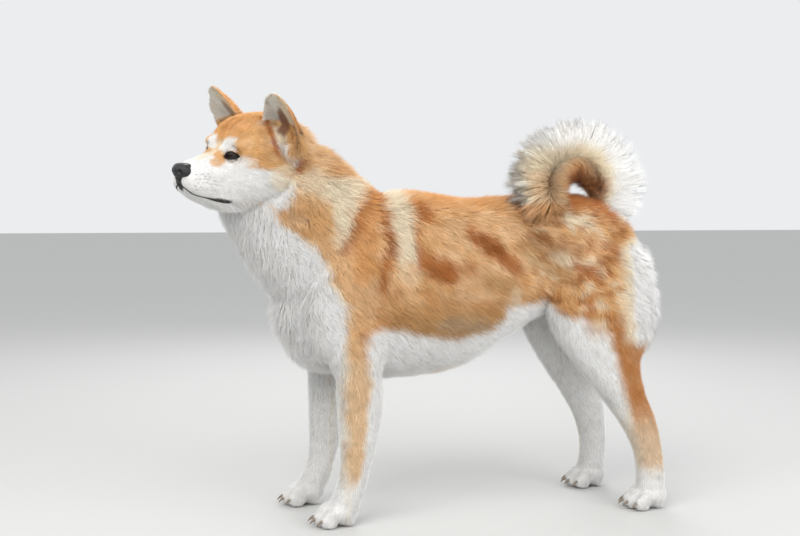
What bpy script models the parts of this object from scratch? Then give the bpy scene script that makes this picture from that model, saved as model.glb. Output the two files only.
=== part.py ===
"""Japanese Akita dog standing square, head turned a little to its left, tail curled over its back.

A still, life-size model. It faces -X, its left side is -Y and it stands on z = 0. The solids reach
out to the tips of the coat. The body is fused from named masses, dressed with small pushes of the
surface, and then parted by thin cuts into the parts that a person would name.
"""

import math

import bpy
import numpy as np
from mathutils import Matrix, Vector

# ------------------------------------------------------------------ driving sizes, in metres
GAP = 0.0003  # between parts that touch
LEFT, RIGHT = -1, 1  # the sign of Y
VOXEL = 0.0045
BODY_TRIANGLES = 4400
SMOOTH_STEPS = 7
BACK_BY = 0.010  # the drawn dog is set back by this much, which centres its box on the origin

# Sections of the trunk, chest to rump: x, half width, top, widest level, underside.
TRUNK = (
    (-0.262, 0.084, 0.530, 0.430, 0.345),
    (-0.215, 0.112, 0.600, 0.440, 0.300),
    (-0.130, 0.132, 0.655, 0.460, 0.272),
    (-0.030, 0.139, 0.666, 0.470, 0.272),
    (0.070, 0.136, 0.652, 0.480, 0.290),
    (0.160, 0.124, 0.655, 0.500, 0.345),
    (0.250, 0.118, 0.664, 0.520, 0.393),
    (0.340, 0.116, 0.656, 0.530, 0.408),
    (0.410, 0.100, 0.622, 0.520, 0.415),
    (0.448, 0.072, 0.575, 0.500, 0.425),
)
# Sections of the neck, head to shoulders: x, y, z of the middle, half width, half depth.
NECK = (
    (-0.332, 0.016, 0.712, 0.092, 0.116),
    (-0.299, 0.016, 0.665, 0.100, 0.136),
    (-0.258, 0.010, 0.615, 0.112, 0.148),
    (-0.214, 0.004, 0.563, 0.122, 0.158),
    (-0.168, 0.000, 0.520, 0.126, 0.160),
)
THROAT = 0.006  # how much further the throat's hair stands out than the nape's
# Sections of a front leg, elbow to wrist: x, distance from the middle plane, z, half length, half width.
FRONT_LEG = (
    (-0.158, 0.082, 0.400, 0.070, 0.052),
    (-0.158, 0.088, 0.340, 0.060, 0.048),
    (-0.158, 0.092, 0.288, 0.051, 0.043),
    (-0.155, 0.093, 0.240, 0.048, 0.040),
    (-0.157, 0.093, 0.190, 0.043, 0.037),
    (-0.161, 0.092, 0.140, 0.036, 0.033),
    (-0.168, 0.091, 0.095, 0.031, 0.030),
    (-0.180, 0.091, 0.055, 0.033, 0.031),
    (-0.192, 0.091, 0.030, 0.034, 0.032),
)
# Sections of a hind leg, hip to foot.
HIND_LEG = (
    (0.345, 0.072, 0.470, 0.125, 0.056),
    (0.350, 0.078, 0.420, 0.126, 0.060),
    (0.358, 0.084, 0.360, 0.110, 0.058),
    (0.364, 0.090, 0.315, 0.083, 0.050),
    (0.380, 0.095, 0.273, 0.063, 0.043),
    (0.404, 0.098, 0.230, 0.050, 0.036),
    (0.428, 0.100, 0.188, 0.043, 0.032),
    (0.446, 0.102, 0.145, 0.035, 0.030),
    (0.457, 0.103, 0.100, 0.031, 0.029),
    (0.460, 0.104, 0.055, 0.032, 0.031),
    (0.455, 0.104, 0.030, 0.034, 0.032),
)
# How far each foot stands ahead of the drawn leg: the right feet are set forward.
REACH = {("front", LEFT): 0.0, ("front", RIGHT): 0.038, ("hind", LEFT): 0.0, ("hind", RIGHT): 0.050}
HIP_HEIGHT = {"front": 1.00, "hind": 0.45}  # above this a leg does not lean
FOOT = {"front": (-0.203, 0.091), "hind": (0.449, 0.104)}  # x and y of each foot's middle
FOOT_LENGTH, FOOT_WIDTH = 0.076, 0.080

# Sections of the head along its own axis, nose to neck: x, half width, top, widest level, underside.
# Its origin is midway between the ears, level with the eyes.
HEAD = (
    (-0.187, 0.021, -0.018, -0.042, -0.066),
    (-0.172, 0.034, -0.011, -0.046, -0.085),
    (-0.148, 0.041, -0.005, -0.050, -0.098),
    (-0.122, 0.046, 0.003, -0.052, -0.107),
    (-0.098, 0.056, 0.028, -0.048, -0.111),
    (-0.073, 0.073, 0.056, -0.042, -0.112),
    (-0.042, 0.086, 0.071, -0.036, -0.112),
    (0.000, 0.092, 0.0755, -0.032, -0.112),
    (0.042, 0.088, 0.068, -0.026, -0.108),
    (0.076, 0.076, 0.053, -0.020, -0.095),
)
HEAD_AT = Vector((-0.339, -0.001, 0.7415))
HEAD_TURN, HEAD_TILT, HEAD_NOD = math.radians(33), math.radians(8.5), math.radians(-6)
EYE_AT, EYE_RADIUS = Vector((-0.0905, 0.0308, -0.0025)), 0.0135
NOSE_AT, NOSE_RADII = Vector((-0.1880, 0.0, -0.0290)), (0.0160, 0.0215, 0.0165)
EAR_BASE, EAR_TIP = Vector((-0.012, 0.080, 0.037)), Vector((-0.050, 0.102, 0.117))
EAR_HALF_WIDTH, EAR_THICKNESS = 0.042, 0.021
EAR_FACING = Vector((-0.97, 0.10, -0.20))

# The tail's curl: a spiral round this middle, seen from the left side, ending on the left loin.
CURL_AT, CURL_RADIUS = (0.316, 0.658), 0.086
CURL_FROM, CURL_TO = math.radians(-42), math.radians(196)
TAIL_REACH = 0.067  # from the tail's middle line out to the tips of its hair
TAIL_ASIDE = 0.087  # how far the tail's tip lies to the left


# ------------------------------------------------------------------ meshes
def make_object(name, mesh):
    obj = bpy.data.objects.new(name, mesh)
    bpy.context.scene.collection.objects.link(obj)
    return obj


def apply_modifiers(obj):
    """The object with its modifiers made permanent."""
    graph = bpy.context.evaluated_depsgraph_get()
    mesh = bpy.data.meshes.new_from_object(obj.evaluated_get(graph))
    obj.modifiers.clear()
    obj.data = mesh
    return obj


def through(stations, per_span):
    """Stations joined by a smooth Catmull-Rom curve, as many rows as per_span gives each span."""
    rows = np.array(stations, float)
    ends = np.vstack([2 * rows[0] - rows[1], rows, 2 * rows[-1] - rows[-2]])
    smooth = []
    for i in range(1, len(ends) - 2):
        before, start, end, after = ends[i - 1 : i + 3]
        for t in np.arange(per_span) / per_span:
            bend = 2 * before - 5 * start + 4 * end - after
            twist = 3 * (start - end) + after - before
            smooth.append(start + 0.5 * t * ((end - before) + t * (bend + t * twist)))
    return np.array([*smooth, rows[-1]])


def ring(middle, side, up, down, sides=28, power=2.3):
    """A rounded section: side, up and down are the vectors from its middle to its edge."""
    points = []
    for turn in np.linspace(0, 2 * math.pi, sides, endpoint=False):
        across = math.copysign(abs(math.cos(turn)) ** (2 / power), math.cos(turn))
        along = math.copysign(abs(math.sin(turn)) ** (2 / power), math.sin(turn))
        reach = np.array(up) * along if along > 0 else np.array(down) * -along
        points.append(np.array(middle) + np.array(side) * across + reach)
    return np.array(points)


def domed(rings, dome):
    """The rings with each end closed in by a dome, as long as dome times the end's own radius."""
    closed = []
    for end, inner in ((rings[0], rings[1]), (rings[-1], rings[-2])):
        middle = end.mean(axis=0)
        outward = middle - inner.mean(axis=0)
        outward = outward / np.linalg.norm(outward)
        radius = np.linalg.norm(end - middle, axis=1).mean()
        steps = [math.radians(a) for a in (30, 55, 75)]
        closed.append(
            [middle + (end - middle) * math.cos(a) + outward * dome * radius * math.sin(a) for a in steps]
        )
    return [*reversed(closed[0]), *rings, *closed[1]]


def loft(name, rings, dome=0.7):
    """A closed skin over a row of rings."""
    rings = domed(rings, dome)
    sides = len(rings[0])
    faces = [tuple(range(sides)), tuple((len(rings) - 1) * sides + i for i in reversed(range(sides)))]
    for r in range(len(rings) - 1):
        for i in range(sides):
            j = (i + 1) % sides
            low, high = r * sides, (r + 1) * sides
            faces.append((low + i, high + i, high + j, low + j))
    mesh = bpy.data.meshes.new(name)
    mesh.from_pydata(np.concatenate(rings).tolist(), [], faces)
    return facing_out(make_object(name, mesh))


def facing_out(obj):
    """Turns the faces round if the closed mesh is inside out."""
    mesh = obj.data
    points = np.array([v.co for v in mesh.vertices])
    volume = 0.0
    for face in mesh.polygons:
        first, *others = points[list(face.vertices)]
        volume += sum(first @ np.cross(b, c) for b, c in zip(others, others[1:]))
    if volume < 0:
        mesh.flip_normals()
    return obj


def ball(name, middle, radii, turn=Matrix.Identity(3), rings=16, sides=28):
    """An ellipsoid with its own axes turned by the matrix turn."""
    stations = np.linspace(-0.92, 0.92, rings)
    shells = []
    for s in stations:
        r = math.sqrt(1 - s * s)
        shells.append(ring((0, 0, s), (r, 0, 0), (0, r, 0), (0, -r, 0), sides, power=2.0))
    obj = loft(name, shells, dome=0.2)
    place = Matrix.Translation(Vector(middle)) @ turn.to_4x4() @ Matrix.Diagonal((*radii, 1))
    obj.data.transform(place)
    return facing_out(obj)


def block(low, high):
    """A cutter: the block between two corners."""
    corners = [(x, y, z) for x in (low[0], high[0]) for y in (low[1], high[1]) for z in (low[2], high[2])]
    faces = [(0, 1, 3, 2), (4, 6, 7, 5), (0, 4, 5, 1), (2, 3, 7, 6), (0, 2, 6, 4), (1, 5, 7, 3)]
    mesh = bpy.data.meshes.new("block")
    mesh.from_pydata(corners, [], faces)
    return facing_out(make_object("block", mesh))


def joined(name, pieces):
    """One object holding the meshes of all the pieces, which are removed."""
    verts, faces = [], []
    for piece in pieces:
        start = len(verts)
        verts += [tuple(piece.matrix_world @ v.co) for v in piece.data.vertices]
        faces += [tuple(start + i for i in f.vertices) for f in piece.data.polygons]
        bpy.data.objects.remove(piece)
    mesh = bpy.data.meshes.new(name)
    mesh.from_pydata(verts, [], faces)
    return make_object(name, mesh)


def fused(name, pieces, voxel=VOXEL, steps=SMOOTH_STEPS):
    """The pieces grown into one skin, with the creases between them softened."""
    obj = joined(name, pieces)
    remesh = obj.modifiers.new("grow together", "REMESH")
    remesh.mode, remesh.voxel_size = "VOXEL", voxel
    soften = obj.modifiers.new("soften", "SMOOTH")
    soften.factor, soften.iterations = 0.5, steps
    return apply_modifiers(obj)


def reduced(obj, triangles):
    """The object with about this many triangles."""
    obj.data.calc_loop_triangles()
    fewer = obj.modifiers.new("fewer faces", "DECIMATE")
    fewer.ratio = min(1.0, triangles / len(obj.data.loop_triangles))
    return apply_modifiers(obj)


def grown(obj, by):
    """A copy of the object with its surface moved out."""
    copy = make_object(obj.name + " grown", obj.data.copy())
    swell = copy.modifiers.new("swell", "DISPLACE")
    swell.strength, swell.mid_level = by, 0.0
    return apply_modifiers(copy)


def boolean(obj, other, operation):
    cut = obj.modifiers.new(operation, "BOOLEAN")
    cut.operation, cut.object, cut.solver = operation, other, "EXACT"
    return apply_modifiers(obj)


def clear_of(obj, other):
    """Cuts the other object's shape out of this one, a thin gap wider."""
    cutter = grown(other, GAP)
    boolean(obj, cutter, "DIFFERENCE")
    bpy.data.objects.remove(cutter)
    return obj


def disc(at, direction, radius):
    """A blade: a thin flat disc that parts what it crosses."""
    turn = Vector(direction).to_track_quat("Z", "Y").to_matrix()
    edge = ring((0, 0, 0), (radius, 0, 0), (0, radius, 0), (0, -radius, 0), sides=24, power=2.0)
    lift = np.array((0, 0, GAP / 2))
    blade = loft("blade", [edge - lift, edge + lift], dome=0)
    blade.data.transform(Matrix.Translation(Vector(at)) @ turn.to_4x4())
    return blade


def loose_parts(obj):
    """The separate closed pieces of an object, each as its own object."""
    mesh = obj.data
    leader = list(range(len(mesh.vertices)))

    def first_of(i):
        while leader[i] != i:
            leader[i] = leader[leader[i]]
            i = leader[i]
        return i

    for edge in mesh.edges:
        leader[first_of(edge.vertices[0])] = first_of(edge.vertices[1])
    groups = {}
    for face in mesh.polygons:
        groups.setdefault(first_of(face.vertices[0]), []).append(tuple(face.vertices))
    pieces = []
    for faces in groups.values():
        used = sorted({i for face in faces for i in face})
        place = {i: k for k, i in enumerate(used)}
        piece = bpy.data.meshes.new("piece")
        piece.from_pydata([tuple(mesh.vertices[i].co) for i in used], [], [[place[i] for i in f] for f in faces])
        pieces.append(make_object("piece", piece))
    bpy.data.objects.remove(obj)
    return pieces


def part_off(obj, name, blade):
    """Cuts the object in two with a blade: gives what is left of it, and the smaller piece named."""
    boolean(obj, blade, "DIFFERENCE")
    bpy.data.objects.remove(blade)
    *slivers, piece, rest = sorted(loose_parts(obj), key=lambda part: part.dimensions.length)
    for sliver in slivers:
        bpy.data.objects.remove(sliver)
    piece.name = name
    return rest, piece


def push(obj, at, radius, move):
    """Moves the surface near a point: by the vector move there, and less with distance."""
    points = np.empty(3 * len(obj.data.vertices), np.float32)
    obj.data.vertices.foreach_get("co", points)
    points = points.reshape(-1, 3)
    near = np.exp(-(((points - np.array(at)) / radius) ** 2).sum(axis=1))
    points += near[:, None] * np.array(move)
    obj.data.vertices.foreach_set("co", points.ravel())
    obj.data.update()


# ------------------------------------------------------------------ masses of the body
def trunk():
    rings = [
        ring((x, 0, level), (0, wide, 0), (0, 0, top - level), (0, 0, under - level))
        for x, wide, top, level, under in through(TRUNK, 4)
    ]
    return loft("trunk", rings)


def neck():
    rows = through(NECK, 4)
    paths = np.gradient(rows[:, :3], axis=0)
    rings = []
    for (x, y, z, wide, deep), path in zip(rows, paths):
        side = np.cross(path, (0, 1, 0))
        up = side / np.linalg.norm(side)
        across = np.cross(up, path / np.linalg.norm(path))
        rings.append(ring((x, y, z), across * wide, up * deep, -up * (deep + THROAT)))
    return loft("neck", rings)


def leg_line(which, side):
    """The leg's sections, leaning forward below the hip by the reach of its foot."""
    rows = through({"front": FRONT_LEG, "hind": HIND_LEG}[which], 3)
    lean = np.clip(1 - rows[:, 2] / HIP_HEIGHT[which], 0, 1)
    rows[:, 0] -= REACH[which, side] * lean
    rows[:, 1] *= side
    return rows


def leg(which, side):
    rings = [
        ring((x, y, z), (0, wide, 0), (-long, 0, 0), (long, 0, 0), sides=20, power=2.1)
        for x, y, z, long, wide in leg_line(which, side)
    ]
    return loft(f"{which} leg", rings, dome=0.5)


def foot(which, side):
    """A compact, arched foot: a pad block, four knuckled toes and their claws."""
    x, y = FOOT[which]
    x -= REACH[which, side] * (1 - 0.03 / HIP_HEIGHT[which])
    y *= side
    length, width = FOOT_LENGTH, FOOT_WIDTH
    pieces = [
        ball("instep", (x + 0.16 * length, y, 0.030), (0.42 * length, 0.42 * width, 0.030)),
        ball("heel pad", (x + 0.30 * length, y, 0.016), (0.20 * length, 0.36 * width, 0.020)),
    ]
    for k in (-1.5, -0.5, 0.5, 1.5):
        across = k * 0.235 * width
        ahead = -0.36 * length if abs(k) < 1 else -0.23 * length
        splay = Matrix.Rotation(-0.13 * k, 3, "Z")
        middle = Vector((x + ahead, y + across, 0.0155))
        knuckle = Vector((x + ahead + 0.17 * length, y + across * 0.92, 0.0285))
        pieces.append(ball("toe", middle, (0.0195, 0.0112, 0.0170), splay))
        pieces.append(ball("knuckle", knuckle, (0.021, 0.0112, 0.0150), splay))
        claw_tip = middle + splay @ Vector((-0.0215, 0, -0.004))
        pieces.append(ball("claw", claw_tip, (0.0085, 0.0032, 0.0042), splay))
    return pieces


def shoulder(side):
    return [
        ball("shoulder", (-0.195, side * 0.078, 0.445), (0.082, 0.060, 0.135), Matrix.Rotation(0.28, 3, "Y")),
        ball("upper arm", (-0.165, side * 0.086, 0.345), (0.068, 0.050, 0.085), Matrix.Rotation(-0.25, 3, "Y")),
    ]


def haunch(side):
    return [
        ball("thigh", (0.345, side * 0.072, 0.455), (0.118, 0.066, 0.125)),
        ball("breeches", (0.412, side * 0.074, 0.420), (0.083, 0.052, 0.123)),
    ]


def head_frame():
    """Carries a point of the head's own frame to the dog's."""
    turn = Matrix.Rotation(HEAD_TURN, 4, "Z") @ Matrix.Rotation(HEAD_TILT, 4, "X")
    return Matrix.Translation(HEAD_AT) @ turn @ Matrix.Rotation(HEAD_NOD, 4, "Y")


def head_masses():
    rings = [
        ring((x, 0, level), (0, wide, 0), (0, 0, top - level), (0, 0, under - level), power=2.4)
        for x, wide, top, level, under in through(HEAD, 4)
    ]
    pieces = [loft("skull", rings, dome=0.55)]
    for side in (LEFT, RIGHT):
        pieces += [
            ball("cheek", (-0.018, side * 0.052, -0.040), (0.062, 0.048, 0.055)),
            ball("ruff", (0.022, side * 0.060, -0.052), (0.052, 0.044, 0.056)),
            ball("lip", (-0.150, side * 0.016, -0.058), (0.044, 0.028, 0.026)),
            ball("brow", (-0.074, side * 0.032, 0.014), (0.027, 0.027, 0.018)),
            ball("ear root", (0.000, side * 0.068, 0.027), (0.034, 0.032, 0.030)),
        ]
    return pieces


def set_on(pieces, frame):
    for piece in pieces:
        piece.data.transform(frame)
    return pieces


def body():
    """Head, neck, trunk and legs as one skin, out to the tips of the coat."""
    pieces = [trunk(), neck(), *set_on(head_masses(), head_frame())]
    pieces.append(ball("brisket", (-0.214, 0, 0.388), (0.098, 0.100, 0.108)))
    pieces.append(ball("breast", (-0.250, 0, 0.440), (0.074, 0.092, 0.096), Matrix.Rotation(-0.45, 3, "Y")))
    for side in (LEFT, RIGHT):
        pieces += [*shoulder(side), *haunch(side)]
        for which in ("front", "hind"):
            pieces += [leg(which, side), *foot(which, side)]
    whole = fused("body", pieces)
    shape_face(whole)
    return reduced(whole, BODY_TRIANGLES)


def shape_face(obj):
    """The stop, the eye sockets, the furrow of the forehead and the line of the mouth."""
    frame = head_frame()
    turn = frame.to_3x3()

    def head_push(at, radius, move):
        push(obj, frame @ Vector(at), radius, turn @ Vector(move))

    head_push((-0.106, 0, 0.016), 0.020, (0.008, 0, -0.005))
    head_push((-0.060, 0, 0.078), 0.020, (0, 0, -0.004))
    for side in (LEFT, RIGHT):
        head_push((EYE_AT.x - 0.010, side * 0.044, 0.000), 0.014, (0.005, side * -0.006, 0))
        head_push((-0.124, side * 0.044, -0.016), 0.020, (0, side * -0.005, 0))
        for step in np.linspace(0, 1, 9):
            at = (-0.186 + 0.077 * step, side * (0.022 + 0.026 * step), -0.066 - 0.028 * step)
            head_push(at, 0.0060, (0, side * -0.0030, 0))


# ------------------------------------------------------------------ separate parts of the head
def paired(name, side):
    return f"{name}_{'left' if side == LEFT else 'right'}"


def eye(side):
    at = (EYE_AT.x, side * EYE_AT.y, EYE_AT.z)
    globe = ball(paired("eye", side), at, [EYE_RADIUS] * 3, rings=4, sides=10)
    return set_on([globe], head_frame())[0]


def nose():
    """The bare nose pad: a rounded wedge with two nostrils."""
    pad = ball("pad", NOSE_AT, NOSE_RADII)
    lower = ball("lower pad", NOSE_AT + Vector((0.002, 0, -0.010)), (0.012, 0.011, 0.013))
    whole = fused("nose", [pad, lower], voxel=0.0016, steps=3)
    for side in (LEFT, RIGHT):
        push(whole, NOSE_AT + Vector((-0.010, side * 0.0100, -0.002)), 0.0045, (0.0045, side * -0.001, 0))
    whole = reduced(whole, 240)
    return set_on([whole], head_frame())[0]


def ear(side):
    """A thick pricked ear leaning forward, hollow in front."""
    base = Vector((EAR_BASE.x, side * EAR_BASE.y, EAR_BASE.z))
    tip = Vector((EAR_TIP.x, side * EAR_TIP.y, EAR_TIP.z))
    along = (tip - base).normalized()
    facing = Vector((EAR_FACING.x, side * EAR_FACING.y, EAR_FACING.z))
    facing = (facing - along * facing.dot(along)).normalized()
    across = along.cross(facing)
    rings = []
    for t in np.linspace(-0.10, 0.97, 7):
        wide = EAR_HALF_WIDTH * (1 - max(t, 0) ** 2.2) ** 0.75 + 0.004
        thick = EAR_THICKNESS * (1.5 - 1.0 * max(t, 0))
        middle = base.lerp(tip, t)
        rings.append(ring(middle, across * wide, facing * thick * 0.4, -facing * thick, sides=12, power=2.0))
    shell = loft(paired("ear", side), rings, dome=0.8)
    hollow_at = base.lerp(tip, 0.36) + facing * 0.017
    turn = Matrix((across, facing, along)).transposed()
    hollow = ball("hollow", hollow_at, (0.026, 0.022, 0.044), turn, rings=5, sides=12)
    boolean(shell, hollow, "DIFFERENCE")
    bpy.data.objects.remove(hollow)
    return set_on([shell], head_frame())[0]


# ------------------------------------------------------------------ tail
def tail_rings():
    """Rings of the tail, root to tip: a tapering brush wound forward over the back."""
    rings = []
    for t in np.linspace(0, 1, 14):
        turn = CURL_FROM + (CURL_TO - CURL_FROM) * t
        outward = np.array((math.cos(turn), 0, math.sin(turn)))
        radius = CURL_RADIUS * (1.0 - 0.02 * t)
        sideways = -TAIL_ASIDE * t**1.6
        middle = np.array((CURL_AT[0], sideways, CURL_AT[1])) + outward * radius
        bulk = math.sin(math.pi * min(1.0, 0.24 + 0.56 * t)) ** 0.7
        spread = 0.42 * math.exp(-(((turn - math.pi) / 0.7) ** 2)) + 0.08 * math.exp(-((turn / 0.8) ** 2))
        reach = TAIL_REACH * (0.55 + 0.45 * bulk + spread) * (1 - 0.40 * t**6)
        inner = TAIL_REACH * (0.62 + 0.30 * bulk) * (1 - 0.25 * t**4)
        rings.append(ring(middle, (0, reach, 0), outward * reach, -outward * inner, sides=12))
    return rings


def tail(trunk_piece):
    whole = loft("tail_curl", tail_rings(), dome=0.8)
    return clear_of(whole, trunk_piece)


# ------------------------------------------------------------------ parting
def part_body(whole):
    """The named parts of the fused body."""
    cuts = []
    for side in (LEFT, RIGHT):
        fore, hind = (REACH[which, side] for which in ("front", "hind"))
        cuts += [
            (paired("forepaw", side), disc((-0.175 - 0.9 * fore, side * 0.091, 0.068), (0.15, 0, 1), 0.065)),
            (paired("hindpaw", side), disc((0.458 - 0.85 * hind, side * 0.104, 0.068), (0.1, 0, 1), 0.06)),
            (paired("foreleg", side), disc((-0.160 - 0.7 * fore, side * 0.095, 0.258), (0, 0, 1), 0.085)),
            (paired("hindleg", side), disc((0.392 - 0.5 * hind, side * 0.1, 0.25), (-0.45, 0, 0.89), 0.09)),
        ]
    cuts += [
        ("head", disc((-0.300, -0.004, 0.690), (-0.80, -0.10, 0.58), 0.25)),
        ("neck", disc((-0.205, 0, 0.560), (-0.72, 0, 0.69), 0.40)),
        ("rump", disc((0.150, 0, 0.5), (1, 0, 0), 0.35)),
    ]
    parts = []
    for name, blade in cuts:
        whole, part = part_off(whole, name, blade)
        parts.append(part)
    whole.name = "chest"
    return [*parts, whole]


def flatten_feet(obj):
    """Cuts the soles off level with the floor."""
    floor = block((-1, -1, -0.5), (1, 1, 0))
    boolean(obj, floor, "DIFFERENCE")
    bpy.data.objects.remove(floor)


# ------------------------------------------------------------------ materials
FINISHES = {
    "red coat": ((0.62, 0.33, 0.14), 0.85, ("chest", "rump", "head", "neck", "ear")),
    "white coat": ((0.85, 0.81, 0.74), 0.85, ("tail", "fore", "hind")),
    "nose leather": ((0.02, 0.02, 0.022), 0.45, ("nose",)),
    "eye": ((0.03, 0.015, 0.01), 0.08, ("eye",)),
}


def give_materials(objects):
    for name, (colour, roughness, starts) in FINISHES.items():
        material = bpy.data.materials.new(name)
        material.use_nodes = True
        shader = material.node_tree.nodes["Principled BSDF"]
        shader.inputs["Base Color"].default_value = (*colour, 1)
        shader.inputs["Roughness"].default_value = roughness
        shader.inputs["Metallic"].default_value = 0.0
        for obj in objects:
            if obj.name.startswith(starts):
                obj.data.materials.clear()
                obj.data.materials.append(material)


# ------------------------------------------------------------------ the whole dog
def main():
    for obj in list(bpy.data.objects):
        bpy.data.objects.remove(obj)
    whole = body()
    flatten_feet(whole)
    curl = tail(whole)
    fittings = [nose(), *[eye(side) for side in (LEFT, RIGHT)], *[ear(side) for side in (LEFT, RIGHT)]]
    for fitting in fittings:
        if fitting.name.startswith("ear"):
            clear_of(fitting, whole)
        else:
            clear_of(whole, fitting)
    parts = part_body(whole)
    curl, tip = part_off(curl, "tail_tip", disc((0.216, -0.07, 0.664), (0.1, 0, 1), 0.105))
    root, middle = part_off(curl, "tail_middle", disc((0.315, -0.034, 0.75), (1, 0, 0), 0.098))
    root.name = "tail_root"
    parts += [tip, root, middle]
    give_materials(set_on(parts + fittings, Matrix.Translation((BACK_BY, 0, 0))))


main()
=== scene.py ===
"""The looks of a standing Akita: one skin, and over it a coat of solid tufts that follow its lie.

The skin repeats the masses of the solids, drawn in by the depth of the coat, and adds the lids, lips
and toes. Eyes, nose, lips, claws and whiskers are pieces of their own. The dog is drawn in the frame
of the solids' own tables and is set back by BACK_BY at the end, as they are.
"""

import math

import bmesh
import bpy
import numpy as np
from mathutils import Matrix, Vector, kdtree
from mathutils.bvhtree import BVHTree


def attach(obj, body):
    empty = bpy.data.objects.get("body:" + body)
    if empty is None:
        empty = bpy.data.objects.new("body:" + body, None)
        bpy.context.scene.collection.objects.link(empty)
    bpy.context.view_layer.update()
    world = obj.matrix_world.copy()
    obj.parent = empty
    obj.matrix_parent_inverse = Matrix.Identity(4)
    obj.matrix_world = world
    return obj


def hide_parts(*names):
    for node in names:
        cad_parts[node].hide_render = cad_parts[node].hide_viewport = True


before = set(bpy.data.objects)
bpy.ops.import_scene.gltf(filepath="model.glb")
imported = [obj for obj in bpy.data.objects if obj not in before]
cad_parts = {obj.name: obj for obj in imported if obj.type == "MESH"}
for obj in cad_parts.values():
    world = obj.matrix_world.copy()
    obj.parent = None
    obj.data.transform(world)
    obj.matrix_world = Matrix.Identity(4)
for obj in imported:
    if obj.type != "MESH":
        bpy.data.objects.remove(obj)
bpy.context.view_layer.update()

# ------------------------------------------------------------------ sizes, in metres where nothing is said
LEFT, RIGHT = -1, 1  # the sign of Y
SIDES = (LEFT, RIGHT)
BACK_BY = 0.010
PER_METRE = 1000  # sections, edges, marks and the head's guides are given in millimetres
SKIN_VOXEL, NOSE_VOXEL = 0.0034, 0.0008
SOFTENING = 0.5  # how far one step of smoothing goes

# Sections of the trunk in mm, chest to rump: x, half width, top, widest level, underside.
TRUNK = (
    (-262, 84, 530, 430, 345),
    (-215, 112, 600, 440, 300),
    (-130, 132, 655, 460, 272),
    (-30, 139, 666, 470, 272),
    (70, 136, 652, 480, 290),
    (160, 124, 655, 500, 345),
    (250, 118, 664, 520, 393),
    (340, 116, 656, 530, 408),
    (410, 100, 622, 520, 415),
    (448, 72, 575, 500, 425),
)
# Sections of the neck in mm, head to shoulders: x, y, z of the middle, half width, half depth.
NECK = (
    (-332, 16, 712, 92, 116),
    (-299, 16, 665, 100, 136),
    (-258, 10, 615, 112, 148),
    (-214, 4, 563, 122, 158),
    (-168, 0, 520, 126, 160),
)
THROAT = 0.006  # how much fuller the neck is in front
# Sections of a leg in mm, top to foot: x, distance from the middle plane, z, half length, half width.
LEG = {
    "front": (
        (-158, 82, 400, 70, 52),
        (-158, 88, 340, 60, 48),
        (-158, 92, 288, 51, 43),
        (-155, 93, 240, 48, 40),
        (-157, 93, 190, 43, 37),
        (-161, 92, 140, 36, 33),
        (-168, 91, 95, 31, 30),
        (-180, 91, 55, 33, 31),
        (-192, 91, 30, 34, 32),
    ),
    "hind": (
        (345, 72, 470, 125, 56),
        (350, 78, 420, 126, 60),
        (358, 84, 360, 110, 58),
        (364, 90, 315, 83, 50),
        (380, 95, 273, 63, 43),
        (404, 98, 230, 50, 36),
        (428, 100, 188, 43, 32),
        (446, 102, 145, 35, 30),
        (457, 103, 100, 31, 29),
        (460, 104, 55, 32, 31),
        (455, 104, 30, 34, 32),
    ),
}
REACH = {("front", LEFT): 0.0, ("front", RIGHT): 0.038, ("hind", LEFT): 0.0, ("hind", RIGHT): 0.050}
HIP_HEIGHT = {"front": 1.00, "hind": 0.45}  # above this a leg does not lean
FOOT = {"front": (-0.203, 0.091), "hind": (0.449, 0.104)}  # x and y of each foot's middle
FOOT_LENGTH, FOOT_WIDTH = 0.076, 0.080

# Sections of the head in mm along its own axis, nose to neck: x, half width, top, widest level, underside.
HEAD = (
    (-187, 21, -18, -42, -66),
    (-172, 34, -11, -46, -85),
    (-148, 41, -5, -50, -98),
    (-122, 46, 3, -52, -107),
    (-98, 56, 28, -48, -111),
    (-73, 73, 56, -42, -112),
    (-42, 86, 71, -36, -112),
    (0, 92, 75.5, -32, -112),
    (42, 88, 68, -26, -108),
    (76, 76, 53, -20, -95),
)
HEAD_AT = Vector((-0.339, -0.001, 0.7415))
HEAD_TURN, HEAD_TILT, HEAD_NOD = math.radians(33), math.radians(8.5), math.radians(-6)
EYE_AT, EYE_RADIUS = Vector((-0.0905, 0.0308, -0.0025)), 0.0135
NOSE_AT, NOSE_RADII = Vector((-0.1880, 0.0, -0.0290)), (0.0160, 0.0215, 0.0165)
EAR_BASE, EAR_TIP = Vector((-0.012, 0.080, 0.037)), Vector((-0.050, 0.102, 0.117))
EAR_HALF_WIDTH, EAR_THICKNESS = 0.042, 0.021
EAR_FACING = Vector((-0.97, 0.10, -0.20))

CURL_AT, CURL_RADIUS = (0.316, 0.658), 0.086
CURL_FROM, CURL_TO = math.radians(-42), math.radians(196)
TAIL_CORE = 0.024  # half the tail's thickness under its hair
TAIL_REACH = 0.067  # from the tail's middle line out to the tips of its hair
TAIL_ASIDE = 0.087  # how far the tail's tip lies to the left
CURL_HOLE = (0.3075, 0.674)

# The lids: half the opening's length, its height above and below the corners, and their thickness.
LID_HALF, LID_ABOVE, LID_BELOW, LID_THICK = 0.0126, 0.0078, 0.0036, 0.0013
LID_LOW = 0.0016  # how far the corners lie below the eye's middle
LID_SLANT = math.radians(4)  # the outer corner is the higher one
GAZE = Vector((-0.80, 0.59, 0.04))

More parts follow.
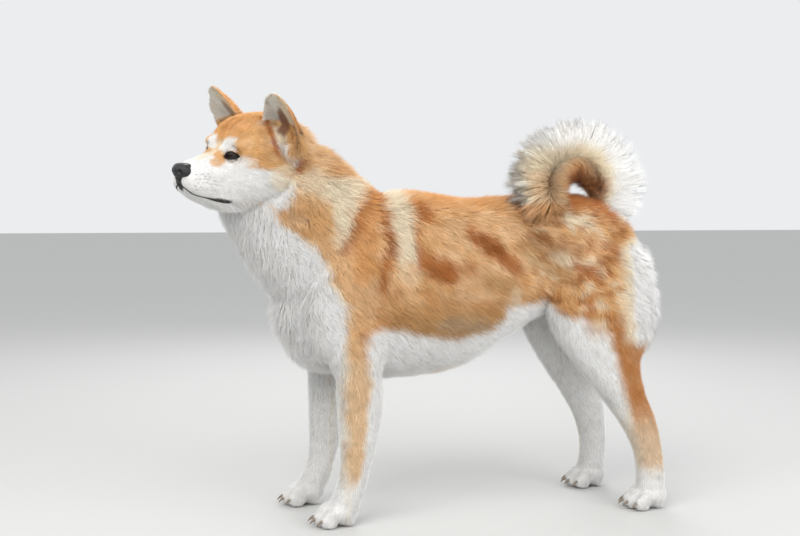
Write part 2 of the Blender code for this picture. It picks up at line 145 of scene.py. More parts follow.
# How each kind of coat lies: height of the tips over the skin, length, width of a tuft, and how many
# layers of tufts cover the skin.
COATS = {
    "trunk": (0.014, 0.027, 0.0014, 7.4),
    "withers": (0.024, 0.034, 0.0015, 9.0),
    "neck": (0.020, 0.031, 0.0014, 9.0),
    "breast": (0.016, 0.028, 0.0014, 7.8),
    "belly": (0.012, 0.026, 0.0014, 6.4),
    "rump": (0.015, 0.026, 0.0014, 7.4),
    "breeches": (0.022, 0.040, 0.0015, 11.5),
    "upper leg": (0.009, 0.018, 0.0013, 4.8),
    "lower leg": (0.0040, 0.011, 0.0011, 2.9),
    "foot": (0.0022, 0.0065, 0.0010, 2.3),
    "muzzle": (0.0013, 0.0048, 0.0007, 2.6),
    "face": (0.0022, 0.0065, 0.0008, 3.2),
    "skull": (0.0050, 0.0105, 0.0010, 3.9),
    "cheek": (0.010, 0.015, 0.0011, 4.4),
    "ruff": (0.017, 0.025, 0.0013, 7.0),
    "ear": (0.0018, 0.007, 0.0009, 3.8),
    "tail": (0.042, 0.050, 0.0017, 60.0),
}
KINDS = list(COATS)
TAIL_FROM = 0.35  # a tuft that belongs to the tail by more than this share lies as its hair does
TAIL_LOCK, BODY_LOCK = 0.0068, 0.0075  # the size of the locks that tufts gather in
COAT_SEED, WHISKER_SEED, DOT_SEED = 11, 5, 8
RIM_RADIUS = 0.00105  # of the lids' black edge
UNWRAP_ANGLE = math.radians(66)
CLAW_FLOOR, TIP_FLOOR, ROOT_FLOOR = 0.0003, 0.0006, 0.0012  # the lowest claws, tufts' tips and roots
GUIDE_SHARPNESS = 2.2  # how sharply the coat changes from one guide's to the next's
AT_ONCE = 20000  # points that are set against the guides in one go
HEAD_CLEAR, CURL_CLEAR = 0.150, 0.135  # the body is not softened within these of the head and the tail's curl
EYE_DETAIL, LID_DETAIL, LIP_DETAIL = 0.024, 0.019, 0.010  # the skin is finer within these of eyes and lips
LIP_BARE, MOUTH_BARE = 0.0018, 0.0034  # half the bare strip along the lips in front, and near their corner

# ------------------------------------------------------------------ colours of the coat
WHITE = (0.90, 0.885, 0.86)
CREAM = (0.86, 0.73, 0.54)
BUFF = (0.80, 0.50, 0.265)
TAN = (0.69, 0.38, 0.155)
ORANGE = (0.70, 0.33, 0.115)
RUST = (0.42, 0.130, 0.028)
BROWN = (0.20, 0.055, 0.012)
ASH = (0.50, 0.44, 0.36)
BLACK = (0.012, 0.011, 0.011)
# flesh colour darkened by painted shade, for the hollows of the ears
FLESH_IN_SHADE = (0.25, 0.115, 0.065)
# a dull brown used as painted shade, low on the flank and on the hindquarters
PAINTED_SHADE = (0.34, 0.20, 0.080)
BRIGHTEST = 0.93  # no tuft is painted brighter than this
SKIN_TONE = 0.72  # the skin's colours, as a share of those of the coat over it
GRAIN_DETAIL = 3.0

# Edges of the white underparts in mm, as the dog stands: the throat and breast lie ahead of x at each z,
# the belly below z at each x, the breeches behind x at each z.
BREAST_EDGE = (
    (300, -190), (344, -188), (382, -183), (433, -186), (476, -214), (502, -215), (521, -229), (543, -244),
    (570, -277), (591, -309), (610, -323), (700, -370),
)
BELLY_EDGE = (
    (-220, 360), (-110, 390), (-40, 372), (40, 362), (120, 385), (155, 430), (230, 435), (280, 400),
)
BREECH_EDGE = (
    (330, 408), (440, 402), (535, 402), (560, 445), (580, 500), (640, 530),
)

# Stripes and blots of the flank, some of them painted shade: colour, points it runs through as x and z, half
# width (mm), strength.
FLANK_MARKS = (
    (CREAM, ((-310, 655), (-250, 665), (-200, 640)), 36, 0.72),
    (ASH, ((-276, 620), (-240, 605), (-225, 575)), 20, 0.35),
    (TAN, ((-262, 628), (-225, 610), (-228, 580)), 26, 0.8),
    (CREAM, ((-200, 655), (-150, 655)), 24, 0.85),
    (CREAM, ((-178, 640), (-187, 595)), 22, 0.85),
    (CREAM, ((-187, 595), (-197, 545)), 13, 0.8),
    (BUFF, ((-190, 500), (-170, 420)), 40, 0.5),
    (ORANGE, ((-120, 640), (-140, 590), (-150, 500)), 24, 0.7),
    (RUST, ((-131, 641), (-160, 590), (-192, 540)), 7, 0.75),
    (RUST, ((-102, 655), (-97, 590), (-94, 546), (-108, 513), (-113, 467)), 11, 0.8),
    (BROWN, ((-96, 560), (-93, 530)), 8, 0.55),
    (CREAM, ((-73, 665), (-73, 627), (-66, 574), (-60, 499)), 21, 0.97),
    (BUFF, ((-60, 499), (-62, 440)), 18, 0.75),
    (RUST, ((-28, 622), (-18, 600)), 14, 0.8),
    (RUST, ((-40, 585), (-35, 515)), 8, 0.65),
    (RUST, ((-18, 510), (10, 497)), 24, 0.85),
    (BROWN, ((-20, 500), (0, 492)), 10, 0.35),
    (RUST, ((10, 497), (76, 500)), 12, 0.45),
    (BUFF, ((-12, 570), (10, 566)), 14, 0.75),
    (ORANGE, ((0, 648), (170, 648)), 16, 0.75),
    (RUST, ((76, 566), (120, 535), (156, 505)), 16, 0.85),
    (BROWN, ((92, 555), (130, 528)), 10, 0.55),
    # painted shade on the flank above the belly
    (PAINTED_SHADE, ((100, 475), (150, 462)), 16, 0.4),
    # painted shade along the lower flank, where it turns under towards the belly
    (TAN, ((-70, 425), (0, 405), (70, 400), (120, 395)), 14, 0.6),
    # painted shade at the edge of the belly
    (ASH, ((10, 392), (88, 392)), 14, 0.6),
    (CREAM, ((160, 450), (165, 400)), 12, 0.6),
    (RUST, ((180, 640), (240, 640)), 16, 0.5),
    (CREAM, ((280, 600), (322, 586)), 13, 0.8),
    # painted shade on the hindquarters
    (PAINTED_SHADE, ((200, 545), (255, 505)), 34, 0.4),
    (BROWN, ((200, 560), (260, 545), (290, 530)), 14, 0.45),
    (CREAM, ((255, 520), (320, 500)), 12, 0.75),
    (RUST, ((293, 503), (335, 480)), 9, 0.85),
    (RUST, ((355, 547), (384, 527)), 10, 0.7),
    (RUST, ((318, 440), (312, 376)), 9, 0.7),
    (RUST, ((255, 634), (300, 641), (345, 638), (385, 602)), 18, 0.8),
)
# Marks of the head in its own frame, the same on both sides: colour, points, half width (mm), strength.
FACE_MARKS = (
    (ORANGE, ((-60, 0, 60), (20, 0, 80)), 45, 0.55),
    (WHITE, ((-215, 0, -30), (-120, 0, -60), (-60, 0, -90)), 56, 1),
    (WHITE, ((-120, 45, -53), (-60, 74, -60), (-20, 92, -75)), 34, 1),
    (WHITE, ((-20, 0, -115), (20, 30, -112)), 46, 1),
    (CREAM, ((-18, 88, -46), (12, 90, -40)), 24, 0.7),
    (TAN, ((-130, 28, -14), (-117, 30, -6)), 11, 0.8),
    (WHITE, ((-106, 42, -25), (-88, 53, -27)), 12, 0.9),
    (CREAM, ((-150, 0, -4), (-118, 0, 2), (-100, 0, 14)), 10, 0.7),
    (WHITE, ((-101, 14, 10), (-92, 22, 24), (-89, 33, 23), (-95, 38, 13)), 8.5, 0.92),
    (WHITE, ((-99, 26, 9), (-94, 30, 16)), 10, 0.92),
    (WHITE, ((-86, 55, -18), (-66, 64, -18)), 8.5, 0.92),
    (WHITE, ((-88, 52, -10.5), (-68, 62, -10.5)), 7, 0.92),
    (WHITE, ((-103.5, 36, -12), (-91, 50, -11.5)), 6, 0.94),
    (WHITE, ((-50, 50, -128), (0, 75, -128)), 30, 1),
    (CREAM, ((60, 85, -70), (100, 80, -90)), 34, 0.75),
    (RUST, ((-77, 10, 44), (-50, 12, 66)), 6, 0.45),
    (WHITE, ((-18, 73, 22), (1, 80, 4), (29, 84, -19)), 13, 0.8),
    (CREAM, ((-20, 58, 60), (-13, 68, 47)), 11, 0.8),
    (RUST, ((-16, 30, 67), (-25, 50, 55), (-23, 66, 37), (-22, 77, 2)), 7.5, 0.88),
    (CREAM, ((-22, 76, 56), (-8, 78, 28)), 10, 0.85),
    (RUST, ((23, 90, -35), (31, 87, -24), (50, 76, 3), (88, 53, 30)), 11, 0.9),
    (BLACK, ((-73.6, 47, -91.1), (-73, 47, -91.1)), 2.2, 0.8),
)

# These scatter the noise's values over its grid.
SCATTER = (73856093, 19349663, 83492791, 2654435761, 1274126177)


# ------------------------------------------------------------------ small helpers
def smooth(x):
    """From 0 to 1, gently, as x goes from 0 to 1."""
    x = np.clip(x, 0, 1)
    return x * x * (3 - 2 * x)


def rise(x, start, width):
    """From 0 to 1 as x passes start, over a width."""
    return smooth((x - start) / width)


def fall(x, end, width):
    """From 1 to 0 as x comes up to end, over a width."""
    return smooth((end - x) / width)


def unit(vectors):
    """The vectors made one long."""
    return vectors / np.maximum(np.linalg.norm(vectors, axis=-1, keepdims=True), 1e-9)


def lengths(rows):
    """The length of each row."""
    return np.linalg.norm(rows, axis=1)


def mixed(base, other, share):
    """The colours in base, with this share of the other."""
    share = np.asarray(share)[..., None]
    return base * (1 - share) + np.array(other) * share


def layered(colours, *layers):
    """The colours with each layer, a colour and its share at every point, laid over them in turn."""
    for colour, share in layers:
        colours = mixed(colours, colour, share)
    return colours


def noise(points, size, seed):
    """Smooth noise from -1 to 1, with lumps of about this size; each seed gives its own."""
    grid = points / size + 100.0
    cell = np.floor(grid).astype(np.int64)
    part = smooth(grid - cell)
    total = np.zeros(len(points))
    for corner in np.ndindex(2, 2, 2):
        i, j, k = (cell + corner).T
        mess = (i * SCATTER[0]) ^ (j * SCATTER[1]) ^ (k * SCATTER[2]) ^ (seed * SCATTER[3])
        mess = (mess ^ (mess >> 13)) * SCATTER[4] & 0xFFFFFFFF
        value = ((mess ^ (mess >> 16)) & 0xFFFF) / 32767.5 - 1
        weight = np.prod(np.where(corner, part, 1 - part), axis=1)
        total += value * weight
    return total


def make_object(name, data):
    """A new object in the scene, of a mesh, light or camera."""
    obj = bpy.data.objects.new(name, data)
    bpy.context.scene.collection.objects.link(obj)
    return obj


def apply_modifiers(obj):
    """Gives the object the mesh that its modifiers make."""
    graph = bpy.context.evaluated_depsgraph_get()
    mesh = bpy.data.meshes.new_from_object(obj.evaluated_get(graph))
    obj.modifiers.clear()
    obj.data = mesh
    return obj


def table_of(items, key, columns=3, kind=np.float32):
    """One attribute of a mesh's items, a row for each."""
    table = np.empty(columns * len(items), kind)
    items.foreach_get(key, table)
    return table.reshape(-1, columns)


def points_of(mesh):
    return table_of(mesh.vertices, "co").astype(float)


def set_points(mesh, points):
    mesh.vertices.foreach_set("co", points.astype(np.float32).ravel())
    mesh.update()


def normals_of(mesh):
    return table_of(mesh.vertex_normals, "vector").astype(float)


# ------------------------------------------------------------------ lofted masses
def through(stations, per_span):
    """Stations in millimetres joined by a smooth Catmull-Rom curve, in metres, with per_span rows a span."""
    rows = np.array(stations) / PER_METRE
    ends = np.vstack([2 * rows[0] - rows[1], rows, 2 * rows[-1] - rows[-2]])
    curve = []
    for i in range(1, len(ends) - 2):
        before, start, end, after = ends[i - 1 : i + 3]
        for t in np.arange(per_span) / per_span:
            bend = 2 * before - 5 * start + 4 * end - after
            twist = 3 * (start - end) + after - before
            curve.append(start + 0.5 * t * ((end - before) + t * (bend + t * twist)))
    return np.array([*curve, rows[-1]])


def ring(middle, side, up, down, sides=32, power=2.3):
    """A rounded section: side, up and down are the vectors from its middle to its edge."""
    points = []
    for turn in np.linspace(0, 2 * math.pi, sides, endpoint=False):
        across = math.copysign(abs(math.cos(turn)) ** (2 / power), math.cos(turn))
        along = math.copysign(abs(math.sin(turn)) ** (2 / power), math.sin(turn))
        reach = np.array(up) * along if along > 0 else np.array(down) * -along
        points.append(np.array(middle) + np.array(side) * across + reach)
    return np.array(points)


def domed(rings, dome):
    """The rings with each end closed in by a dome, as long as dome times the end's own radius."""
    closed = []
    for end, inner in ((rings[0], rings[1]), (rings[-1], rings[-2])):
        middle = end.mean(axis=0)
        outward = unit(middle - inner.mean(axis=0))
        radius = lengths(end - middle).mean()
        closed.append([])
        for turn in (math.radians(a) for a in (30, 55, 75)):
            bulge = outward * dome * radius * math.sin(turn)
            closed[-1].append(middle + (end - middle) * math.cos(turn) + bulge)
    return [*reversed(closed[0]), *rings, *closed[1]]


def facing_out(obj):
    """Turns the faces round if the closed mesh is inside out."""
    mesh = obj.data
    mesh.calc_loop_triangles()
    corners = table_of(mesh.loop_triangles, "vertices", kind=np.int32)
    a, b, c = points_of(mesh)[corners].transpose(1, 0, 2)
    if (a * np.cross(b, c)).sum() < 0:
        mesh.flip_normals()
    return obj


def loft(name, rings, dome=0.7):
    """A closed skin over a row of rings."""
    rings = domed(rings, dome)
    sides = len(rings[0])
    faces = [tuple(range(sides)), tuple((len(rings) - 1) * sides + i for i in reversed(range(sides)))]
    for r in range(len(rings) - 1):
        for i in range(sides):
            j = (i + 1) % sides
            low, high = r * sides, (r + 1) * sides
            faces.append((low + i, high + i, high + j, low + j))
    mesh = bpy.data.meshes.new(name)
    mesh.from_pydata(np.concatenate(rings).tolist(), [], faces)
    return facing_out(make_object(name, mesh))


def ball(name, middle, radii, turn=Matrix.Identity(3), rings=16, sides=28):
    """An ellipsoid with its own axes turned by the matrix turn."""
    shells = []
    for s in np.linspace(-0.97, 0.97, rings):
        r = math.sqrt(1 - s * s)
        shells.append(ring((0, 0, s), (r, 0, 0), (0, r, 0), (0, -r, 0), sides, power=2.0))
    obj = loft(name, shells, dome=0.1)
    obj.data.transform(Matrix.Translation(Vector(middle)) @ turn.to_4x4() @ Matrix.Diagonal((*radii, 1)))
    return facing_out(obj)


def joined(name, pieces):
    """One object holding the meshes of all the pieces, which are removed."""
    verts, faces = [], []
    for piece in pieces:
        start = len(verts)
        verts += [tuple(v.co) for v in piece.data.vertices]
        faces += [tuple(start + i for i in f.vertices) for f in piece.data.polygons]
        bpy.data.objects.remove(piece)
    mesh = bpy.data.meshes.new(name)
    mesh.from_pydata(verts, [], faces)
    mesh.shade_smooth()
    return make_object(name, mesh)


def fused(name, pieces, voxel, steps):
    """The pieces grown into one skin, with the creases between them softened."""
    obj = joined(name, pieces)
    remesh = obj.modifiers.new("grow together", "REMESH")
    remesh.mode, remesh.voxel_size = "VOXEL", voxel
    smoother = obj.modifiers.new("soften", "SMOOTH")
    smoother.factor, smoother.iterations = SOFTENING, steps
    return apply_modifiers(obj)


def tube(name, path, radii, sides=10):
    """A round tube along a path, closed at both ends, with a radius at each point."""
    path = np.array(path, float)
    along = unit(np.gradient(path, axis=0))
    up = unit(np.cross(along, (0.31, 0.23, 0.92)))
    side = np.cross(along, up)
    rings = []
    for point, u, s, r in zip(path, up, side, radii):
        rings.append(ring(point, s * r, u * r, -u * r, sides, power=2.0))
    return loft(name, rings, dome=0.9)


# ------------------------------------------------------------------ the head's own frame
def head_frame():
    """Carries a point of the head's own frame to the dog's."""
    turn = Matrix.Rotation(HEAD_TURN, 4, "Z") @ Matrix.Rotation(HEAD_TILT, 4, "X")
    return Matrix.Translation(HEAD_AT) @ turn @ Matrix.Rotation(HEAD_NOD, 4, "Y")


HEAD_FRAME = head_frame()
HEAD_TURNED = np.array(HEAD_FRAME.to_3x3())


def to_head(points):
    """The points in the head's own frame."""
    return (points - np.array(HEAD_AT)) @ HEAD_TURNED


def from_head(points):
    """Points of the head's own frame in the dog's."""
    return np.asarray(points) @ HEAD_TURNED.T + np.array(HEAD_AT)


def set_on(pieces, place):
    """Moves the meshes of the pieces by a matrix."""
    for piece in pieces:
        piece.data.transform(place)
    return pieces


def mirrored(vector, side):
    """A vector of the right side as it is on this side."""
    return np.array((vector[0], side * vector[1], vector[2]))


def eye_axes(side):
    """The eye's middle, and the directions of its outer corner, of up and of its gaze."""
    gaze = unit(mirrored(GAZE, side))
    level = unit(np.cross(gaze, (0, 0, 1)))
    level = level if level[0] > 0 else -level
    up = np.cross(level, gaze)
    up = up if up[2] > 0 else -up
    corner = level * math.cos(LID_SLANT) + up * math.sin(LID_SLANT)
    lift = up * math.cos(LID_SLANT) - level * math.sin(LID_SLANT)
    return mirrored(EYE_AT, side), corner, lift, gaze


def by_eye(local, side):
    """Where the head's points lie by one eye: towards its outer corner, up, and along its gaze."""
    middle, *axes = eye_axes(side)
    return [(local - middle) @ axis for axis in axes]


def lid_edges(u):
    """The heights of the upper and lower lid's edge over the line of the corners."""
    upper = 1 - np.clip(np.abs(u + 0.0006) / LID_HALF, 0, 1) ** 1.7
    lower = 1 - np.clip(np.abs(u) / LID_HALF, 0, 1) ** 2.6
    return LID_ABOVE * upper, -LID_BELOW * lower


def beyond_lids(u, v):
    """How far a point of the eye's plane is outside the almond between the lids; less than 0 is inside."""
    v = v + LID_LOW
    upper, lower = lid_edges(u)
    return np.maximum(np.maximum(v - upper, lower - v), np.abs(u) - LID_HALF)


def ear_axes(side):
    """The ear's root, tip, and the unit vectors along it, across it and out of its hollow."""
    base, tip = mirrored(EAR_BASE, side), mirrored(EAR_TIP, side)
    along = unit(tip - base)
    facing = mirrored(EAR_FACING, side)
    facing = unit(facing - along * (facing @ along))
    return base, tip, along, np.cross(along, facing), facing


# ------------------------------------------------------------------ masses of the skin
def trunk():
    """The barrel from chest to rump, drawn in by the depth of its coat."""
    coat = COATS["trunk"][0]
    rings = []
    for x, wide, top, level, under in through(TRUNK, 4):
        up, down = (0, 0, top - coat - level), (0, 0, under + coat - level)
        rings.append(ring((x, 0, level), (0, wide - coat, 0), up, down))
    return loft("trunk", rings)


def neck():
    """The neck from head to shoulders, a little fuller in front."""
    coat = COATS["neck"][0]
    rows = through(NECK, 4)
    paths = unit(np.gradient(rows[:, :3], axis=0))
    rings = []
    for (x, y, z, wide, deep), path in zip(rows, paths):
        up = unit(np.cross(path, (0, 1, 0)))
        across = np.cross(up, path)
        front = -up * (deep - 0.75 * coat + THROAT)
        rings.append(ring((x, y, z), across * (wide - coat), up * (deep - coat), front))
    return loft("neck", rings)


def leg_line(which, side):
    """The leg's sections, leaning forward below the hip by the reach of its foot."""
    rows = through(LEG[which], 3)
    rows[:, 0] -= REACH[which, side] * np.clip(1 - rows[:, 2] / HIP_HEIGHT[which], 0, 1)
    rows[:, 1] *= side
    return rows


def leg(which, side):
    """One leg, drawn in by a coat that thins downwards."""
    rings = []
    for x, y, z, long, wide in leg_line(which, side):
        coat = 0.0035 + 0.011 * rise(z, 0.16, 0.26)
        long, wide = long - coat, wide - coat
        rings.append(ring((x, y, z), (0, wide, 0), (-long, 0, 0), (long, 0, 0), sides=24, power=2.1))
    return loft(f"{which} leg", rings, dome=0.5)


def foot_middle(which, side):
    """The x and y of a foot's middle."""
    x, y = FOOT[which]
    return x - REACH[which, side] * (1 - 0.03 / HIP_HEIGHT[which]), y * side


def toes(which, side):
    """The middle, knuckle and sideways turn of each toe."""
    x, y = foot_middle(which, side)
    rows = []
    for k in (-1.5, -0.5, 0.5, 1.5):
        across = k * 0.235 * FOOT_WIDTH
        ahead = -0.36 * FOOT_LENGTH if abs(k) < 1 else -0.23 * FOOT_LENGTH
        middle = Vector((x + ahead, y + across, 0.0155))
        knuckle = Vector((x + ahead + 0.17 * FOOT_LENGTH, y + across * 0.92, 0.0285))
        rows.append((middle, knuckle, Matrix.Rotation(-0.13 * k, 3, "Z")))
    return rows


def foot(which, side):
    """A compact, arched foot: a pad block and four knuckled toes."""
    x, y = foot_middle(which, side)
    length, width, coat = FOOT_LENGTH, FOOT_WIDTH, 0.0018
    pieces = []
    for name, back, height, long, wide, tall in (
        ("instep", 0.16, 0.030, 0.42, 0.42, 0.030 - coat),
        ("heel pad", 0.30, 0.016, 0.20, 0.36, 0.0185),
    ):
        radii = (long * length - coat, wide * width - coat, tall)
        pieces.append(ball(name, (x + back * length, y, height), radii))
    for middle, knuckle, splay in toes(which, side):
        pieces.append(ball("toe", middle, (0.0195 - coat, 0.0112 - 0.8 * coat, 0.0152), splay))
        pieces.append(ball("knuckle", knuckle, (0.021 - coat, 0.0112 - 0.8 * coat, 0.0150 - coat), splay))
    return pieces


def shoulder(side):
    """The bulges of the shoulder and the upper arm."""
    lean, tuck = Matrix.Rotation(0.28, 3, "Y"), Matrix.Rotation(-0.25, 3, "Y")
    return [
        ball("shoulder", (-0.195, side * 0.078, 0.445), (0.066, 0.044, 0.119), lean),
        ball("upper arm", (-0.165, side * 0.086, 0.345), (0.055, 0.037, 0.072), tuck),
    ]


def haunch(side):
    """The bulges of the thigh and of the hair behind it."""
    return [
        ball("thigh", (0.345, side * 0.072, 0.455), (0.102, 0.050, 0.109)),
        ball("breeches", (0.412, side * 0.073, 0.430), (0.062, 0.034, 0.116)),
    ]


def head_masses():
    """The skull and the bulges of the face, in the head's own frame."""
    rings = []
    for x, wide, top, level, under in through(HEAD, 4):
        coat = 0.0016 + 0.0095 * rise(x, -0.11, 0.12)
        crown = 0.0016 + 0.0045 * rise(x, -0.10, 0.08) + 0.004 * rise(x, 0.025, 0.05)
        up, down = (0, 0, top - crown - level), (0, 0, under + coat - level)
        rings.append(ring((x, 0, level), (0, wide - coat, 0), up, down, power=2.4))
    pieces = [loft("skull", rings, dome=0.55)]
    for side in SIDES:
        pieces += [
            ball("cheek", (-0.018, side * 0.050, -0.040), (0.053, 0.038, 0.045)),
            ball("ruff", (0.022, side * 0.056, -0.052), (0.038, 0.030, 0.042)),
            ball("lip", (-0.150, side * 0.016, -0.058), (0.0425, 0.0262, 0.0243)),
            ball("brow", (-0.074, side * 0.032, 0.014), (0.0250, 0.0250, 0.0158)),
            ball("ear root", (0.006, side * 0.065, 0.027), (0.027, 0.026, 0.025)),
        ]
    return pieces


def ear(side):
    """A thick pricked ear leaning forward: a row of crescents, open in front."""
    base, tip, _, across, facing = ear_axes(side)
    rings = []
    for t in np.linspace(-0.30, 0.96, 18):
        wide = (EAR_HALF_WIDTH + 0.001) * (1 - max(t, 0) ** 2.6) ** 0.72 + 0.0036
        back = EAR_THICKNESS * (1.5 - 1.0 * max(t, 0)) - 0.0015
        wall = 0.0076 * (1 - 0.25 * max(t, 0)) + 0.030 * fall(t, -0.10, 0.18)
        middle = base + (tip - base) * t
        turns = np.linspace(0, math.pi, 16)
        crescent = [middle + across * wide * math.cos(a) - facing * back * math.sin(a) ** 0.85 for a in turns]
        depth = max(back - wall, -0.4 * back)
        lip = 0.0035 * (1 - 0.6 * max(t, 0))
        inset = wide - 0.45 * min(wall, 0.006)
        for a in turns[::-1]:
            hollow = facing * (lip - (depth + lip) * math.sin(a) ** 0.7)
            crescent.append(middle + across * inset * math.cos(a) + hollow)
        rings.append(np.array(crescent))
    return loft("ear", rings, dome=0.3)


def tail_line(count):
    """Points along the tail's middle line, with the way out of the curl there."""
    t = np.linspace(0, 1, count)
    turn = CURL_FROM + (CURL_TO - CURL_FROM) * t
    outward = np.stack([np.cos(turn), 0 * t, np.sin(turn)], axis=1)
    radius = CURL_RADIUS * (1.0 - 0.02 * t)
    middle = np.stack([CURL_AT[0] + 0 * t, -TAIL_ASIDE * t**1.6, CURL_AT[1] + 0 * t], axis=1)
    return t, middle + outward * radius[:, None], outward


def tail_reach(t):
    """How far the hair's tips lie from the middle line, out of the curl and into it."""
    turn = CURL_FROM + (CURL_TO - CURL_FROM) * t
    bulk = np.sin(math.pi * np.minimum(1.0, 0.24 + 0.56 * t)) ** 0.7
    spread = 0.42 * np.exp(-(((turn - math.pi) / 0.7) ** 2)) + 0.08 * np.exp(-((turn / 0.8) ** 2))
    outer = TAIL_REACH * (0.55 + 0.45 * bulk + spread) * (1 - 0.40 * t**6)
    inner = TAIL_REACH * (0.72 + 0.42 * bulk) * (1 - 0.25 * t**4)
    return outer, inner


def tail():
    """The tail's core, curled over the back."""
    t, middles, outward = tail_line(26)
    thick = TAIL_CORE * (1.12 - 0.45 * t**2)
    rings = []
    for middle, out, radius in zip(middles, outward, thick):
        rings.append(ring(middle, (0, radius, 0), out * radius, -out * radius, sides=20, power=2.0))
    return loft("tail", rings, dome=0.8)


# ------------------------------------------------------------------ the skin
def skin_masses():
    """All that the skin is grown from."""
    pieces = [trunk(), neck(), tail()]
    pieces.append(ball("brisket", (-0.214, 0, 0.388), (0.080, 0.082, 0.090)))
    pieces.append(ball("breast", (-0.250, 0, 0.440), (0.056, 0.074, 0.078), Matrix.Rotation(-0.45, 3, "Y")))
    pieces += set_on([*head_masses(), *[ear(side) for side in SIDES]], HEAD_FRAME)
    for side in SIDES:
        pieces += [*shoulder(side), *haunch(side)]
        for which in LEG:
            pieces += [leg(which, side), *foot(which, side)]
    return pieces


def finer(obj, near):
    """Splits the faces whose middles near() picks into four."""
    mesh = bmesh.new()
    mesh.from_mesh(obj.data)
    middles = np.array([f.calc_center_median() for f in mesh.faces])
    picked = near(middles)
    edges = {e for f, is_near in zip(mesh.faces, picked) if is_near for e in f.edges}
    bmesh.ops.subdivide_edges(mesh, edges=list(edges), cuts=1, use_grid_fill=True)
    mesh.to_mesh(obj.data)
    mesh.free()


def soften(obj, picked, steps):
    """Smooths the vertices that are picked."""
    group = obj.vertex_groups.new(name="picked")
    group.add(np.flatnonzero(picked).tolist(), 1.0, "REPLACE")
    modifier = obj.modifiers.new("soften", "SMOOTH")
    modifier.factor, modifier.iterations, modifier.vertex_group = SOFTENING, steps, "picked"
    apply_modifiers(obj)
    obj.vertex_groups.clear()


def soften_body(obj):
    """Draws the masses of neck, breast, shoulders and haunches into one smooth form."""
    points = points_of(obj.data)
    x, _, z = points.T
    clear = lengths(to_head(points) - (-0.02, 0, 0.0)) > HEAD_CLEAR
    clear &= (np.hypot(x - CURL_AT[0], z - CURL_AT[1]) > CURL_CLEAR) | (z < 0.585)
    soften(obj, clear & (z > 0.22), 16)
    soften(obj, clear & (z > 0.27) & (x < 0.0), 60)


def near_face(points):
    """The muzzle and the front of the face."""
    local = to_head(points)
    ahead = (local[:, 0] < -0.045) & (local[:, 0] > -0.24) & (np.abs(local[:, 1]) < 0.075)
    return ahead & (np.abs(local[:, 2]) < 0.115)


def near_details(points):
    """Near the eyes and the lips."""
    local = to_head(points)
    near = np.zeros(len(points), bool)
    for side in SIDES:
        near |= lengths(local - mirrored(EYE_AT, side)) < EYE_DETAIL
        for at in lip_path(side, 10):
            near |= lengths(local - at) < LIP_DETAIL
    return near


def near_eyes(points):
    """The surroundings of the eyes."""
    local = to_head(points)
    return np.min([lengths(local - mirrored(EYE_AT, side)) for side in SIDES], axis=0) < LID_DETAIL


def push(points, at, radius, move):
    """Moves the points near one place: by the vector move there, and less with distance."""
    near = np.exp(-(((points - np.array(at)) / radius) ** 2).sum(axis=1))
    points += near[:, None] * np.array(move)


def lip_path(side, count):
    """The line where the lips meet, from under the nose back to the corner of the mouth."""
    stations = (
        (-198, 1, -59),
        (-195.5, 10, -61.5),
        (-187, 20, -67),
        (-166, 28, -77.5),
        (-145, 34, -85),
        (-126, 39, -89.5),
        (-105, 43, -94),
        (-98, 44.5, -95),
    )
    rows = through(stations, 4)
    picks = np.linspace(0, len(rows) - 1, count)
    rows = np.stack([np.interp(picks, np.arange(len(rows)), column) for column in rows.T], axis=1)
    return rows * (1, side, 1)


def snapped(local, path):
    """The path drawn onto the skin."""
    rows = []
    for at in path:
        gap = lengths(local - at)
        nearest = local[gap.argmin()]
        weight = np.exp(-((lengths(local - nearest) / 0.0020) ** 2))
        rows.append((weight @ local) / weight.sum())
    return np.array(rows)


def shape_face(local):
    """Stop, sockets, furrow, muzzle, lips and brow, in the head's own frame."""
    for at, radius, move in (
        ((-0.106, 0, 0.014), 0.019, (0.006, 0, -0.005)),
        ((-0.062, 0, 0.076), 0.018, (0, 0, -0.0035)),
        ((-0.085, 0, 0.048), 0.012, (0.002, 0, -0.002)),
        ((-0.160, 0, -0.001), 0.020, (0, 0, -0.0015)),
    ):
        push(local, at, radius, move)
    for side in SIDES:
        base, tip, _, _, facing = ear_axes(side)
        for t in (-0.26, -0.14, -0.02, 0.10):
            push(local, base + (tip - base) * t - facing * 0.002, 0.013, -facing * 0.006)
        for at, radius, move in (
            ((-0.108, 0.036, 0.004), 0.011, (0.003, -0.004, 0)),
            ((-0.124, 0.044, -0.014), 0.018, (0, -0.004, 0)),
            ((-0.088, 0.046, 0.020), 0.010, (-0.003, 0.0015, 0.001)),
            ((-0.182, 0.024, -0.044), 0.014, (-0.002, 0.0028, 0)),
        ):
            push(local, mirrored(at, side), radius, mirrored(move, side))
        for at in snapped(local, lip_path(side, 24)):
            push(local, at, 0.0040, (0.0005, side * -0.0011, 0.0005))
            push(local, at + np.array((0.001, side * 0.001, 0.007)), 0.0050, (0, side * 0.0005, -0.0003))
    for at in snapped(local, [(-0.202, 0, z) for z in np.linspace(-0.058, -0.046, 5)]):
        push(local, at, 0.0028, (0.0014, 0, 0))


